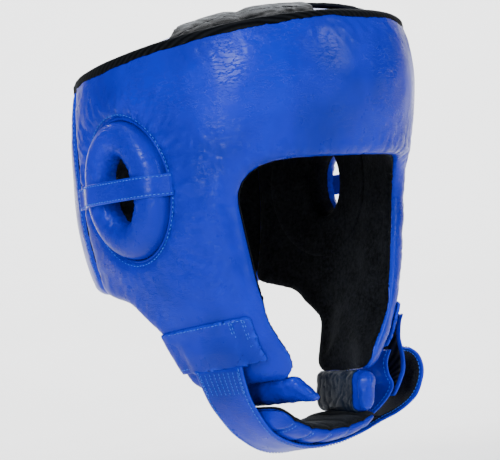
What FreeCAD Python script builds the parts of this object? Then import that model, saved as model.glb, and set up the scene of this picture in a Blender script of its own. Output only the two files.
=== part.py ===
"""Open-face boxing headgear: a padded leather shell with ear rings, a domed crown pad with two
hook-and-loop flaps, a split back panel with a closure strap, and a chin strap with a padded cup.

Row frame in millimetres: +Z up, the face looks along -Y, the wearer's right is -X.
The origin is the centre of the wearer's head at the level of the ear holes' centres.
"""
import FreeCAD
import Part

import math
import os

Vector = FreeCAD.Vector

# ---------------------------------------------------------------- driving dimensions
# The outer surface: height, half width, reach to the front and reach to the back.
STATIONS = [
    (-140, 66, 74, 58),
    (-124, 73, 84, 70),
    (-110, 80, 94, 84),
    (-94, 87, 101, 98),
    (-74, 94, 106, 110),
    (-48, 101, 107, 119),
    (-20, 107, 108, 121),
    (12, 110, 112, 119),
    (38, 111, 120, 115),
    (64, 111, 125, 108),
    (86, 107, 124, 102),
    (108, 100, 117, 96),
]
ROUNDNESS = 2.2            # exponent of the superellipse that each section is
PADDING = 22               # shell thickness over most of its height
RIM_PADDING = 9            # shell thickness at the top rim
TAPER_FROM, TAPER_TO = 52, 104   # heights between which the padding thins
SKIN = 1.4                 # leather thickness
LINING = 1.6               # suede lining thickness
GAP = 0.2                  # air between two layers of one pad
CLEAR = 0.5                # air between pieces that move apart

RIM_HEIGHT = 94.5          # height of the top rim at Y = 0
RIM_SLOPE = 0.055          # the rim drops this much per millimetre towards the back
BINDING_LIP = 1.2          # how far the rim binding stands off the leather
BINDING_SKIRT = 7.0        # how far it reaches below the rim
BINDING_PROUD = 1.6        # and above it
BROW = 9                   # height of the forehead pad's lower edge
FACE_EDGE = -68            # Y of the cheeks' front edges
CHIN_GAP = [(34, -150), (40, -118), (60, -92), (60, -40)]   # half width and height of the gap between the cheeks
WING_EDGE = 61             # Y where the side wings end and the back panels begin
BACK_GAP = 12              # half the gap between the two back panels
BACK_HEM = -66             # height of the back panels' lower edge

EAR_Y, EAR_Z = 6, 0        # centre of an ear hole
EAR_SEAM = (38, 46)        # half axes of the seam round an ear ring, along Y and Z
EAR_HOLE = (15, 24)        # half axes of the hole through an ear ring
EAR_PROUD = 9              # how far an ear ring stands out of the shell
EAR_STRAP_WIDTH = 14

CROWN_RISE = 22            # height of the crown's top above the rim
CROWN_DROP = 6             # how far the crown's edge sits below the rim
CROWN_INSET = 10.5         # from the shell's outer face to the crown's edge
CROWN_PAD = 11             # crown thickness

FLAP_REACH = 79            # plan distance from the crown's middle to a flap's hinge
FLAP_LENGTH = 42
FLAP_HALF_WIDTH = (43, 30)   # at the hinge and at the tip
CROWN_MIDDLE_Y = -10.5

STRAP_FRONT, STRAP_REAR = -50, -14   # Y of the chin strap's two edges
STRAP_SKIN = 2.0           # strap leather
TAPE = 1.3                 # loop or hook tape
TAPE_MARGIN = 2.5          # from a strap's edge to its tape's edge

BAND_TOP, BAND_LOW = -93, -119.5   # heights of a cheek band's edges at its middle
BAND_SLANT = 2.5           # the band's front end sits this much higher and its rear end this much lower
BAND_REAR = 4              # Y of the band's rear end
ROOT_TOP, ROOT_LOW = -106, -120.8   # heights of the strap root's ends

# (X, Z) corners of strap paths, all starting at the wearer's right, with their rounding radii.
STRAP_REAR_PATH = [(-76.5, -122.2), (-63, -150), (-36, -177), (12, -179), (60, -167.5)]
STRAP_FRONT_PATH = [(-68.5, -121.4), (-60, -150), (-36, -175), (12, -178), (60, -167.5)]
STRAP_RADII = [0, 40, 40, 80, 0]
FLAP_PATH = [(62.2, -167.0), (92, -160), (110, -138), (104, -121), (93.5, -119.5)]
FLAP_RADII = [0, 16, 10, 7, 0]
PLY_PATH = [(46, -165), (67, -161), (78, -150), (69, -139), (79, -123)]
PLY_RADII = [0, 9, 5, 12, 0]
TAB_PATH = [(77.5, -154), (82, -144), (91, -131), (89, -112), (92.5, -102)]
TAB_RADII = [0, 14, 9, 24, 0]

CUP_ENDS = (-56, 44)       # X of the chin cup's two ends
CUP_SIDES = (-65, -5)      # Y of its two long edges
CUP_TOP = [(-56, -152.5), (-38, -159.5), (-8, -165.5), (24, -164.5), (44, -167)]   # top profile in (X, Z)
CUP_RADII = [2, 30, 60, 40, 2]

JAW_REAR, JAW_FRONT = (50, -10), (29, -73)   # plan points (X, Y) of a jaw pad's middle line
JAW_HALF = 6               # half its thickness
JAW_AXIS_REAR, JAW_AXIS_FRONT = -138.8, -131.8   # height of its hinge line at those points
JAW_DEPTH = {"right": -147, "left": -158}     # height of its lower edge
JAW_TIP = (5, -138)        # how far its front corner reaches past the hinge line's end, and its height
JAW_RADII = {"right": 2, "left": 4.5}         # rounding of its lower corners

REAR_ROOT_X = 44           # X of the rear strap's hinge line
REAR_ROOT_END = 68
REAR_TIP_X = -52
REAR_BAND = (-22, 30)      # heights of the rear strap's edges


# ---------------------------------------------------------------- small geometry helpers
def box(low, high):
    """An axis-aligned box between two corners."""
    return Part.makeBox(*(b - a for a, b in zip(low, high)), Vector(*low))


def mirrored(shape):
    """The same shape on the other side of the plane X = 0."""
    return shape.mirror(Vector(0, 0, 0), Vector(1, 0, 0))


def heading(start, end):
    """Unit vector from one 2-D point to another."""
    dx, dy = end[0] - start[0], end[1] - start[1]
    length = math.hypot(dx, dy)
    return dx / length, dy / length


def rounded_edges(points, radii, place, closed):
    """Lines joined by tangent arcs through 2-D corner points. place turns a 2-D point into 3-D."""
    count = len(points)
    entries, exits, mids = [], [], []
    for i, corner in enumerate(points):
        if not closed and i in (0, count - 1) or radii[i] <= 0:
            entries.append(corner)
            exits.append(corner)
            mids.append(None)
            continue
        before = heading(corner, points[i - 1])
        after = heading(corner, points[(i + 1) % count])
        cosine = before[0] * after[0] + before[1] * after[1]
        half = math.acos(max(-1, min(1, cosine))) / 2
        reach = radii[i] / math.tan(half)
        bisector = heading((0, 0), (before[0] + after[0], before[1] + after[1]))
        to_arc = radii[i] / math.sin(half) - radii[i]
        entries.append((corner[0] + before[0] * reach, corner[1] + before[1] * reach))
        exits.append((corner[0] + after[0] * reach, corner[1] + after[1] * reach))
        mids.append((corner[0] + bisector[0] * to_arc, corner[1] + bisector[1] * to_arc))
    edges = []
    for i in range(count):
        if mids[i] is not None:
            edges.append(Part.Arc(place(entries[i]), place(mids[i]), place(exits[i])).toShape())
        if i < count - 1 or closed:
            start, end = place(exits[i]), place(entries[(i + 1) % count])
            if start.distanceToPoint(end) > 1e-6:
                edges.append(Part.LineSegment(start, end).toShape())
    return edges


def prism(points, radii, place, along):
    """A rounded polygon extruded along a vector."""
    wire = Part.Wire(rounded_edges(points, radii, place, True))
    return Part.Face(wire).extrude(along)


def beside(points, distance):
    """A 2-D path moved to its left by a distance, with mitred corners."""
    moved = []
    for i, point in enumerate(points):
        before = heading(points[max(i - 1, 0)], points[max(i, 1)])
        after = heading(points[min(i, len(points) - 2)], points[min(i + 1, len(points) - 1)])
        normal = (-(before[1] + after[1]), before[0] + after[0])
        size = math.hypot(*normal)
        cosine = (normal[0] * -after[1] + normal[1] * after[0]) / size
        step = distance / cosine / size
        moved.append((point[0] + normal[0] * step, point[1] + normal[1] * step))
    return moved


def turns(points):
    """+1 for a left turn and -1 for a right turn at each corner of a path."""
    signs = []
    for i in range(len(points)):
        if i in (0, len(points) - 1):
            signs.append(0)
            continue
        a = heading(points[i - 1], points[i])
        b = heading(points[i], points[i + 1])
        signs.append(1 if a[0] * b[1] - a[1] * b[0] > 0 else -1)
    return signs


def ribbon_outline(points, radii, low, high, y):
    """The closed outline, at one Y, of the space between two offsets to the left of a path in XZ."""
    def place(p):
        return Vector(p[0], y, p[1])

    signs = turns(points)
    near = rounded_edges(beside(points, low), [r - s * low for r, s in zip(radii, signs)], place, False)
    far = rounded_edges(beside(points, high), [r - s * high for r, s in zip(radii, signs)], place, False)
    ends = [
        Part.LineSegment(place(beside(points, low)[i]), place(beside(points, high)[i])).toShape()
        for i in (0, -1)
    ]
    return Part.Wire(Part.__sortEdges__(near + far + ends))


def ribbon(points, radii, low, high, y_from, y_to):
    """A strap: the outline between two offsets of a path, extruded from y_from to y_to."""
    wire = ribbon_outline(points, radii, low, high, y_from)
    return Part.Face(wire).extrude(Vector(0, y_to - y_from, 0))


# ---------------------------------------------------------------- the head-shaped layers
def padding_at(height):
    """Shell thickness at a height: full below, thin at the rim."""
    share = min(1, max(0, (height - TAPER_FROM) / (TAPER_TO - TAPER_FROM)))
    return PADDING + (RIM_PADDING - PADDING) * share * share * (3 - 2 * share)


def section(height, half_width, front, back, inset):
    """One closed horizontal section of the head shape, drawn inset millimetres inside."""
    steps = 28
    points = []
    for i in range(steps):
        angle = 2 * math.pi * i / steps
        sine, cosine = math.sin(angle), math.cos(angle)
        reach = (front if cosine > 0 else back) - inset
        x = (half_width - inset) * math.copysign(abs(sine) ** (2 / ROUNDNESS), sine)
        y = -reach * math.copysign(abs(cosine) ** (2 / ROUNDNESS), cosine)
        points.append(Vector(x, y, height))
    curve = Part.BSplineCurve()
    curve.interpolate(points, PeriodicFlag=True)
    return Part.Wire(curve.toShape())


def head_body(inset=0.0, from_inside=None):
    """The filled head shape, inset from the outer face, or from_inside millimetres out of the lining."""
    wires = []
    for height, half_width, front, back in STATIONS:
        depth = inset if from_inside is None else padding_at(height) - from_inside
        wires.append(section(height, half_width, front, back, depth))
    return Part.makeLoft(wires, True, False)


def side_prism(points, radii):
    """A side-view outline in (Y, Z), extruded right across the head."""
    reach = 160
    return prism(points, radii, lambda p: Vector(-reach, p[0], p[1]), Vector(2 * reach, 0, 0))


def rim_at(y):
    """Height of the rim plane at a Y."""
    return RIM_HEIGHT - RIM_SLOPE * y


def chin_gap(margin):
    """The gap between the cheeks' lower ends, seen from the front and grown by a margin."""
    half = [(x + margin, z) for x, z in CHIN_GAP]
    corners = half + [(-x, z) for x, z in reversed(half)]
    return prism(corners, [0] * len(corners), lambda p: Vector(p[0], -160, p[1]), Vector(0, 160, 0))


def front_outline(margin):
    """Side view of the forehead and cheeks, drawn margin millimetres inside its edge."""
    m = margin
    top_y, back_y = -150, WING_EDGE - m
    corners = [
        (top_y, rim_at(top_y) - m), (top_y, BROW + m), (FACE_EDGE + m, BROW + m),
        (FACE_EDGE + m, -125 + m), (1 - m, -133 + m), (7 - m, -96 + m),
        (30, -75 + m), (back_y, BACK_HEM + m), (back_y, rim_at(back_y) - m),
    ]
    side = side_prism(corners, [0, 0, 26 - m, 11 - m, 13 - m, 13 + m, 26, 8 - m, 0])
    return side.cut(chin_gap(m))


def back_outline(margin):
    """Side view of the back panels."""
    m = margin
    front_y, back_y = WING_EDGE + 0.8 + m, 150
    corners = [
        (front_y, rim_at(front_y) - m), (front_y, BACK_HEM + m),
        (back_y, BACK_HEM + m), (back_y, rim_at(back_y) - m),
    ]
    return side_prism(corners, [0, 8 - m, 0, 0])


def ear_bore(grow):
    """Both ear cut-outs: an oval cylinder right across the head, grown by some millimetres."""
    reach = 160
    half_y, half_z = EAR_SEAM[0] + grow, EAR_SEAM[1] + grow
    centre = Vector(-reach, EAR_Y, EAR_Z)
    oval = Part.Ellipse(centre + Vector(0, 0, half_z), centre + Vector(0, half_y, 0), centre)
    return Part.Face(Part.Wire(oval.toShape())).extrude(Vector(2 * reach, 0, 0))


def padded_layers(outline, cut=None):
    """Cover, foam and lining of one padded panel: the cover wraps the foam's edges."""
    depth = LINING + GAP
    inner = head_body(from_inside=0)
    lining_face = head_body(from_inside=LINING)
    foam_inner = head_body(from_inside=depth)
    block = head_body(0).common(outline(0))
    hollow = head_body(SKIN).common(outline(SKIN))
    core = head_body(SKIN + GAP).common(outline(SKIN + GAP))
    soft = lining_face.common(outline(SKIN))
    layers = [block.cut(hollow).cut(foam_inner), core.cut(foam_inner), soft.cut(inner)]
    return [layer.cut(cut) for layer in layers] if cut is not None else layers


# ---------------------------------------------------------------- the pieces
def shell():
    """Forehead, side wings and cheeks: one padded panel in three layers."""
    cover, foam, lining = padded_layers(front_outline, ear_bore(0.4))
    return {"shell_cover": cover, "shell_foam": foam, "shell_lining": lining}


def back_panels():
    """The two halves of the back, each with the same three layers."""
    low, high = (BACK_GAP, 0, -200), (200, 200, 200)
    nodes = {}
    for name, layer in zip(("cover", "foam", "lining"), padded_layers(back_outline)):
        margin = 0 if name == "cover" else SKIN + GAP
        left = layer.common(box((low[0] + margin, *low[1:]), high))
        nodes["back_left_" + name] = left
        nodes["back_right_" + name] = mirrored(left)
    return nodes


def rim_slab(low, high):
    """The space between two planes parallel to the rim."""
    reach = 160
    corners = [(-reach, rim_at(-reach) + low), (reach, rim_at(reach) + low),
               (reach, rim_at(reach) + high), (-reach, rim_at(-reach) + high)]
    return side_prism(corners, [0, 0, 0, 0])


def bindings():
    """Black tape folded over the top rim, in one run per panel."""
    outside = head_body(-BINDING_LIP).common(rim_slab(-BINDING_SKIRT, BINDING_PROUD))
    inside = head_body(from_inside=-BINDING_LIP)
    panel = head_body(-GAP).cut(head_body(from_inside=-GAP)).common(rim_slab(-60, GAP))
    tape = outside.cut(inside).cut(panel).cut(dome(CLEAR))
    wing_box = box((-200, -200, -200), (200, WING_EDGE, 200))
    left_box = box((BACK_GAP, WING_EDGE + 0.8, -200), (200, 200, 200))
    left = tape.common(left_box)
    return {"rim_binding": tape.common(wing_box), "back_left_binding": left,
            "back_right_binding": mirrored(left)}


def dome(grow):
    """The crown's outer shape grown by some millimetres: a half ellipsoid tilted with the rim."""
    _, half_width, front, back = STATIONS[-1]
    half_length = (front + back) / 2
    centre_y = (back - front) / 2
    base = rim_at(centre_y) - CROWN_DROP
    shape = Part.makeSphere(1.0, Vector(0, 0, 0), Vector(0, 0, 1), 0, 90, 360)
    matrix = FreeCAD.Matrix()
    matrix.scale(half_width - CROWN_INSET + 3 + grow, half_length - CROWN_INSET + 3 + grow,
                 CROWN_RISE + CROWN_DROP + grow)
    shape = shape.transformGeometry(matrix)
    shape.rotate(Vector(0, 0, 0), Vector(1, 0, 0), -math.degrees(math.atan(RIM_SLOPE)))
    shape.translate(Vector(0, centre_y, base))
    return shape


def crown():
    """The domed crown pad in three layers."""
    inner = CROWN_PAD - LINING
    return {
        "crown_cover": dome(0).cut(dome(-SKIN)),
        "crown_foam": dome(-SKIN - GAP).cut(dome(-inner + GAP)),
        "crown_lining": dome(-inner).cut(dome(-CROWN_PAD)),
    }


def flap_plan(point):
    """A plan point given as (out along the right-front diagonal, across it), in the row frame."""
    out, across = point
    root = math.sqrt(0.5)
    return Vector((-out + across) * root, CROWN_MIDDLE_Y - (out + across) * root, 0)


def flap_prism(start, end, margin, widths=FLAP_HALF_WIDTH):
    """A vertical prism over a flap's outline, between two plan distances from the crown's middle."""
    corners = [(start, widths[0] - margin), (end, widths[1] - margin),
               (end, -widths[1] + margin), (start, -widths[0] + margin)]
    return prism(corners, [2, 10, 10, 2], flap_plan, Vector(0, 0, 200))


def rim_collar():
    """The space that the rim and its binding take up, with some air round them."""
    outside = head_body(-BINDING_LIP - CLEAR).common(rim_slab(-60, BINDING_PROUD + CLEAR))
    return outside.cut(head_body(from_inside=-BINDING_LIP - CLEAR))


def crown_flaps():
    """Black flaps over the crown's front diagonals, their sewn bases, and their hook and loop tape."""
    tip = FLAP_REACH - FLAP_LENGTH
    hook, leather = TAPE + 0.5, 2 * TAPE + 0.6
    gusset_zone = flap_prism(FLAP_REACH + 1.4, FLAP_REACH + 11, 0, (45, 40))
    right = {
        "crown_loop": dome(TAPE - 0.1).cut(dome(0.1)).common(flap_prism(FLAP_REACH - 6, tip + 2, 6)),
        "crown_hook": dome(hook + TAPE - 0.4).cut(dome(hook)).common(
            flap_prism(FLAP_REACH - 9, tip + 4, 8)),
        "crown_flap": dome(leather + STRAP_SKIN).cut(dome(leather)).common(
            flap_prism(FLAP_REACH - 1, tip, 0)),
        "crown_gusset": dome(leather + STRAP_SKIN).cut(dome(0.3)).common(gusset_zone).cut(rim_collar()),
    }
    nodes = {}
    for name, solid in right.items():
        nodes[name + "_right"] = solid
        nodes[name + "_left"] = mirrored(solid)
    return nodes


def ear_oval(half_y, half_z, from_x, to_x):
    """An oval cylinder along X at the right ear."""
    centre = Vector(from_x, EAR_Y, EAR_Z)
    oval = Part.Ellipse(centre + Vector(0, 0, half_z), centre + Vector(0, half_y, 0), centre)
    return Part.Face(Part.Wire(oval.toShape())).extrude(Vector(to_x - from_x, 0, 0))


def ear_parts():
    """Padded ring in each ear cut-out, with a leather strap across its outer face."""
    half_width = 109.5
    outer_x, inner_x = -half_width - EAR_PROUD, -half_width + PADDING - 2
    ring = ear_oval(*EAR_SEAM, outer_x, inner_x).cut(ear_oval(*EAR_HOLE, outer_x - 1, inner_x + 1))
    soft_edge = 7
    rim_edges = [e for e in ring.Edges if abs(e.BoundBox.XMax - outer_x) < 0.01]
    ring = ring.makeFillet(soft_edge, rim_edges)
    skin = SKIN + GAP
    core = ear_oval(EAR_SEAM[0] - skin, EAR_SEAM[1] - skin, outer_x + skin, inner_x - skin).cut(
        ear_oval(EAR_HOLE[0] + skin, EAR_HOLE[1] + skin, outer_x, inner_x))
    core_edges = [e for e in core.Edges if abs(e.BoundBox.XMax - (outer_x + skin)) < 0.01]
    core = core.makeFillet(soft_edge - skin, core_edges)
    hollow = ear_oval(EAR_SEAM[0] - SKIN, EAR_SEAM[1] - SKIN, outer_x + SKIN, inner_x - SKIN).cut(
        ear_oval(EAR_HOLE[0] + SKIN, EAR_HOLE[1] + SKIN, outer_x, inner_x))
    hollow_edges = [e for e in hollow.Edges if abs(e.BoundBox.XMax - (outer_x + SKIN)) < 0.01]
    hollow = hollow.makeFillet(soft_edge - SKIN, hollow_edges)
    right = {"ear_ring_cover": ring.cut(hollow), "ear_ring_foam": core, "ear_strap": ear_strap(outer_x)}
    nodes = {}
    for name, solid in right.items():
        nodes[name + "_right"] = solid
        nodes[name + "_left"] = mirrored(solid)
    return nodes


def ear_strap(outer_x):
    """A strap over an ear ring: from the wing's back edge, across the ring, to the seam in front."""
    front_foot, back_foot = EAR_Y - EAR_SEAM[0] - 5, WING_EDGE - 3
    lift = GAP + 0.1
    path = [(-108.6, front_foot), (outer_x - lift, EAR_Y - EAR_SEAM[0] + 1.5),
            (outer_x - lift, EAR_Y + EAR_SEAM[0] - 3), (-101.5, back_foot)]
    signs = turns(path)
    radii = [0, 9, 12, 0]
    half = EAR_STRAP_WIDTH / 2

    def place(p):
        return Vector(p[0], p[1], EAR_Z - half)

    near = rounded_edges(path, radii, place, False)
    far_radii = [r - s * STRAP_SKIN for r, s in zip(radii, signs)]
    far = rounded_edges(beside(path, STRAP_SKIN), far_radii, place, False)
    outer = beside(path, STRAP_SKIN)
    ends = [Part.LineSegment(place(path[i]), place(outer[i])).toShape() for i in (0, -1)]
    wire = Part.Wire(Part.__sortEdges__(near + far + ends))
    strap = Part.Face(wire).extrude(Vector(0, 0, EAR_STRAP_WIDTH))
    return strap.cut(head_body(-GAP))


def root_block(grow):
    """A box round the strap root, grown by some millimetres."""
    return box((-200, STRAP_FRONT - grow, ROOT_LOW - 20 * grow), (0, STRAP_REAR + grow, ROOT_TOP + grow))


def skin_between(low, high):
    """The space between two distances outside the head shape."""
    return head_body(-high).cut(head_body(-low))


def cheek_bands():
    """A leather band round each cheek, near the face edge. The right one bulges over the strap root."""
    front = FACE_EDGE + 5
    corners = [(front, BAND_TOP + BAND_SLANT), (front - 1, BAND_LOW + BAND_SLANT),
               (BAND_REAR, BAND_LOW - BAND_SLANT), (BAND_REAR, BAND_TOP - BAND_SLANT)]
    half = side_prism(corners, [0, 0, 0, 0]).common(box((-200, -200, -200), (0, 200, 200)))
    pocket = GAP + STRAP_SKIN + GAP
    flat = skin_between(GAP, GAP + STRAP_SKIN).common(half)
    bulge = skin_between(GAP, pocket + STRAP_SKIN).common(half).common(root_block(STRAP_SKIN + GAP))
    hollow = skin_between(-1, pocket).common(root_block(GAP))
    return {"cheek_band_right": flat.fuse(bulge).cut(hollow), "cheek_band_left": mirrored(flat)}


def strap_root():
    """The sewn end of the chin strap, between the right cheek and the band over it."""
    return {"chin_strap_root": skin_between(GAP, GAP + STRAP_SKIN).common(root_block(0))}


def strap_path(y):
    """The chin strap's path in (X, Z) at a Y, in line with its rear and front paths."""
    share = (y - STRAP_REAR) / (STRAP_FRONT - STRAP_REAR)
    return [(a[0] + (b[0] - a[0]) * share, a[1] + (b[1] - a[1]) * share)
            for a, b in zip(STRAP_REAR_PATH, STRAP_FRONT_PATH)]


def slanted_ribbon(low, high, y_from, y_to):
    """The space between two offsets of the chin strap's slanted path, from y_from to y_to."""
    reach = (-70, 0)
    ends = [ribbon_outline(strap_path(y), STRAP_RADII, low, high, y) for y in reach]
    return Part.makeLoft(ends, True, True).common(box((-200, y_from, -300), (200, y_to, 0)))


def chin_strap():
    """The strap under the chin with its loop tape, inner ply and hook tab."""
    front, back = STRAP_FRONT, STRAP_REAR
    edge = TAPE_MARGIN
    return {
        "chin_strap": slanted_ribbon(-STRAP_SKIN, 0, front, back),
        "chin_strap_tape": slanted_ribbon(0.15, TAPE, front + edge, back - edge),
        "chin_ply": ribbon(PLY_PATH, PLY_RADII, -1, 1, front, back),
        "chin_tab": ribbon(TAB_PATH, TAB_RADII, -1.1, 0.9, front, back),
        "chin_tab_hook": ribbon(TAB_PATH, TAB_RADII, 1.0, 1.0 + TAPE, front + edge, back - edge),
    }


def chin_flap():
    """The strap's outer flap, which closes over the hook tab."""
    front, back = STRAP_FRONT, STRAP_REAR
    edge = TAPE_MARGIN
    return {
        "chin_flap": ribbon(FLAP_PATH, FLAP_RADII, -STRAP_SKIN, 0, front, back),
        "chin_flap_tape": ribbon(FLAP_PATH, FLAP_RADII, 0.1, TAPE, front + edge, back - edge),
    }


def cup_block(drop):
    """The cup's whole outline down to well below the strap, its top lowered by drop."""
    front, back = CUP_SIDES
    corners = [(CUP_ENDS[0], -200)] + [(x, z - drop) for x, z in CUP_TOP] + [(CUP_ENDS[1], -200)]
    return prism(corners, [0] + CUP_RADII + [0], lambda p: Vector(p[0], front, p[1]),
                 Vector(0, back - front, 0))


def below_cup(height):
    """Everything under a surface some millimetres above the strap."""
    return slanted_ribbon(-60, height, CUP_SIDES[0] - 2, CUP_SIDES[1] + 2)


def chin_cup():
    """The padded cup that lies in the strap: leather below, foam, and suede on top."""
    bed = TAPE + GAP
    inset = [box((CUP_ENDS[0] + skin, CUP_SIDES[0] + skin, -220), (CUP_ENDS[1] - skin, CUP_SIDES[1] - skin, -100))
             for skin in (SKIN, SKIN + GAP)]
    hollow = cup_block(0).common(inset[0]).cut(below_cup(bed + SKIN))
    return {
        "chin_cup_cover": cup_block(LINING + GAP).cut(below_cup(bed)).cut(hollow),
        "chin_cup_foam": cup_block(LINING + GAP).common(inset[1]).cut(below_cup(bed + SKIN + GAP)),
        "chin_cup_lining": cup_block(0).cut(cup_block(LINING)).cut(below_cup(bed)),
    }


def jaw_pads():
    """Padded flaps below the cheeks, each turning on a line along its rounded top."""
    nodes = {}
    for side, depth in JAW_DEPTH.items():
        cover = jaw_shape(depth, JAW_RADII[side], 0).cut(jaw_shape(depth, JAW_RADII[side], SKIN))
        foam = jaw_shape(depth, JAW_RADII[side], SKIN + GAP)
        if side == "right":
            cover, foam = mirrored(cover), mirrored(foam)
        nodes["jaw_pad_cover_" + side] = cover
        nodes["jaw_pad_foam_" + side] = foam
    return nodes


def jaw_shape(depth, radius, skin):
    """One jaw pad on the wearer's left, drawn skin millimetres inside its outer face."""
    rear = Vector(*JAW_REAR, JAW_AXIS_REAR)
    front = Vector(*JAW_FRONT, JAW_AXIS_FRONT)
    run = front - rear
    along = Vector(run).normalize()
    half = JAW_HALF - skin
    rod = Part.makeCylinder(half, run.Length - 2 * skin, rear + along * skin, along)
    plan = Vector(run.x, run.y, 0)
    length = plan.Length
    plan.normalize()
    across = Vector(-plan.y, plan.x, 0)

    def place(p):
        return Vector(rear.x, rear.y, 0) + plan * p[0] - across * half + Vector(0, 0, p[1])

    reach, tip = JAW_TIP
    corners = [(skin, JAW_AXIS_REAR), (length - skin, JAW_AXIS_FRONT), (length + reach - skin, tip),
               (length - 1 - skin, depth + skin), (skin, depth + skin)]
    plate = prism(corners, [0, 0, 2, radius, radius], place, across * (2 * half))
    return rod.fuse(plate).removeSplitter()


def rear_closure():
    """The strap across the gap between the back panels, with its sewn root and its tapes."""
    hook, leather = TAPE + 0.5, 2 * TAPE + 0.6
    low, high = REAR_BAND

    def patch(inner, outer, x_from, x_to, margin):
        zone = box((x_from, 0, low + margin), (x_to, 200, high - margin))
        return head_body(-outer).cut(head_body(-inner)).common(zone)

    tip = REAR_TIP_X
    return {
        "rear_loop": patch(0.1, TAPE - 0.1, tip + 1, -BACK_GAP - 4, 2),
        "rear_hook": patch(hook, hook + TAPE - 0.4, tip + 3, -BACK_GAP - 8, 4),
        "rear_strap": patch(leather, leather + STRAP_SKIN, tip, REAR_ROOT_X - 1, 0),
        "rear_strap_root": patch(0.1, leather + STRAP_SKIN, REAR_ROOT_X + 2, REAR_ROOT_END, 0),
    }


# ---------------------------------------------------------------- write every piece
def main():
    os.makedirs("parts", exist_ok=True)
    groups = [shell, back_panels, bindings, crown, crown_flaps, ear_parts, cheek_bands, strap_root,
              chin_strap, chin_flap, chin_cup, jaw_pads, rear_closure]
    for group in groups:
        for name, solid in group().items():
            solids = [s for s in solid.Solids if s.Volume > 1]
            shape = solids[0] if len(solids) == 1 else Part.makeCompound(solids)
            shape.exportStep("parts/" + name + ".step")
            note = "" if shape.isValid() else "  NOT VALID"
            print(f"{name}: {len(solids)} solid(s), {shape.Volume / 1000:.1f} cm3{note}")


main()
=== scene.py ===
import bpy
import math
import numpy as np
from mathutils import Matrix, Vector, noise


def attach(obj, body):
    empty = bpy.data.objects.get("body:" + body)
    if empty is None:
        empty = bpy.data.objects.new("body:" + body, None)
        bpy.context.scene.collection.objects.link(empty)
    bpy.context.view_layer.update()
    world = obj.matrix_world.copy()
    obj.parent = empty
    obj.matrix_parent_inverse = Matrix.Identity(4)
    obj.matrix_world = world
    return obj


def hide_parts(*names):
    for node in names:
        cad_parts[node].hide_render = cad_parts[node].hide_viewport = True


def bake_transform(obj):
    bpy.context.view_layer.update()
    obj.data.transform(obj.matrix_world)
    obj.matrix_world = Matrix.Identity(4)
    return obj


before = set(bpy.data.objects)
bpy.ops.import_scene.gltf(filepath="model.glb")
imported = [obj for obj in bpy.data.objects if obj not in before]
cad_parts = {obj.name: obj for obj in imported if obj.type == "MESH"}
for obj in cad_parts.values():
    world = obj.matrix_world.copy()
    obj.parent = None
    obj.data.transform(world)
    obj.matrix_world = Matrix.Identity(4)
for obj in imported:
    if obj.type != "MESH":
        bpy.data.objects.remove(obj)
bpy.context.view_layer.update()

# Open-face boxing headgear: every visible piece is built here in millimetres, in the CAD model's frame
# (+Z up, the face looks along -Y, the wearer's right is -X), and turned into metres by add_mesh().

MM = 0.001

# ---------------------------------------------------------------- sizes shared with the CAD model, in mm
# The outer surface: height, half width, reach to the front, reach to the back.
STATIONS = np.array([
    (-140, 66, 74, 58), (-124, 73, 84, 70), (-110, 80, 94, 84), (-94, 87, 101, 98),
    (-74, 94, 106, 110), (-48, 101, 107, 119), (-20, 107, 108, 121), (12, 110, 112, 119),
    (38, 111, 120, 115), (64, 111, 125, 108), (86, 107, 124, 102), (108, 100, 117, 96),
], dtype=float)
ROUNDNESS = 2.2
PADDING, RIM_PADDING = 22, 9
TAPER_DEPTH, TAPER_PAST = 46, 8       # the padding thins from this far below the rim plane to this far above
RIM_HEIGHT, RIM_SLOPE = 86.0, 0.13
BROW = 9
FACE_EDGE = -68
WING_EDGE = 61
BACK_GAP = 12
BACK_HEM = -66
EAR_Y, EAR_Z = 6, 0
EAR_SEAM = (38, 46)
EAR_HOLE = (12.5, 22)
VALLEY_DEPTH, VALLEY_WIDTH = 3.2, 5.5   # the valley in the shell round each ear ring
PINCH, PINCH_WIDTH = 0.42, 17           # how much thinner the padding is at the face edge
EDGE_ROUND, SEAM_ROUND = 6.5, 4.0
RING_PROUD, RING_ROUND = 7.5, 10.4
REAR_STRAP = (-22, 30)                  # its low and high edge
FAR = 170                               # a reach past the whole object


# ---------------------------------------------------------------- fields: negative inside, in mm
def station(z, column):
    """A smooth value between the stations: 1 half width, 2 front reach, 3 back reach."""
    heights, values = STATIONS[:, 0], STATIONS[:, column]
    slopes = np.gradient(values, heights)
    z = np.clip(z, heights[0], heights[-1])
    i = np.clip(np.searchsorted(heights, z) - 1, 0, len(heights) - 2)
    span = heights[i + 1] - heights[i]
    t = (z - heights[i]) / span
    rise = values[i + 1] - values[i]
    a = slopes[i] * span - rise
    b = rise - slopes[i + 1] * span
    return values[i] + t * rise + t * (1 - t) * ((1 - t) * a + t * b)


def head(p, inset=0.0):
    """Distance to the head shape set in by some millimetres."""
    wide = station(p[:, 2], 1) - inset
    long = np.where(p[:, 1] < 0, station(p[:, 2], 2), station(p[:, 2], 3)) - inset
    u, v = np.abs(p[:, 0]) / wide, np.abs(p[:, 1]) / long
    n = ROUNDNESS
    g = np.maximum((u ** n + v ** n) ** (1 / n), 1e-6)
    slope = np.hypot((u / g) ** (n - 1) / wide, (v / g) ** (n - 1) / long)
    return (g - 1) / np.maximum(slope, 1e-6)


def padding(p):
    """Thickness of the shell at a point: it thins towards the rim."""
    share = np.clip((rim(p) + TAPER_DEPTH) / (TAPER_DEPTH + TAPER_PAST), 0, 1)
    return PADDING + (RIM_PADDING - PADDING) * share * share * (3 - 2 * share)


def rim(p):
    """Height above the rim plane."""
    return p[:, 2] - (RIM_HEIGHT - RIM_SLOPE * p[:, 1])


def unit(vectors):
    """Rows scaled to length 1."""
    return vectors / np.maximum(np.linalg.norm(vectors, axis=1), 1e-9)[:, None]


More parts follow.
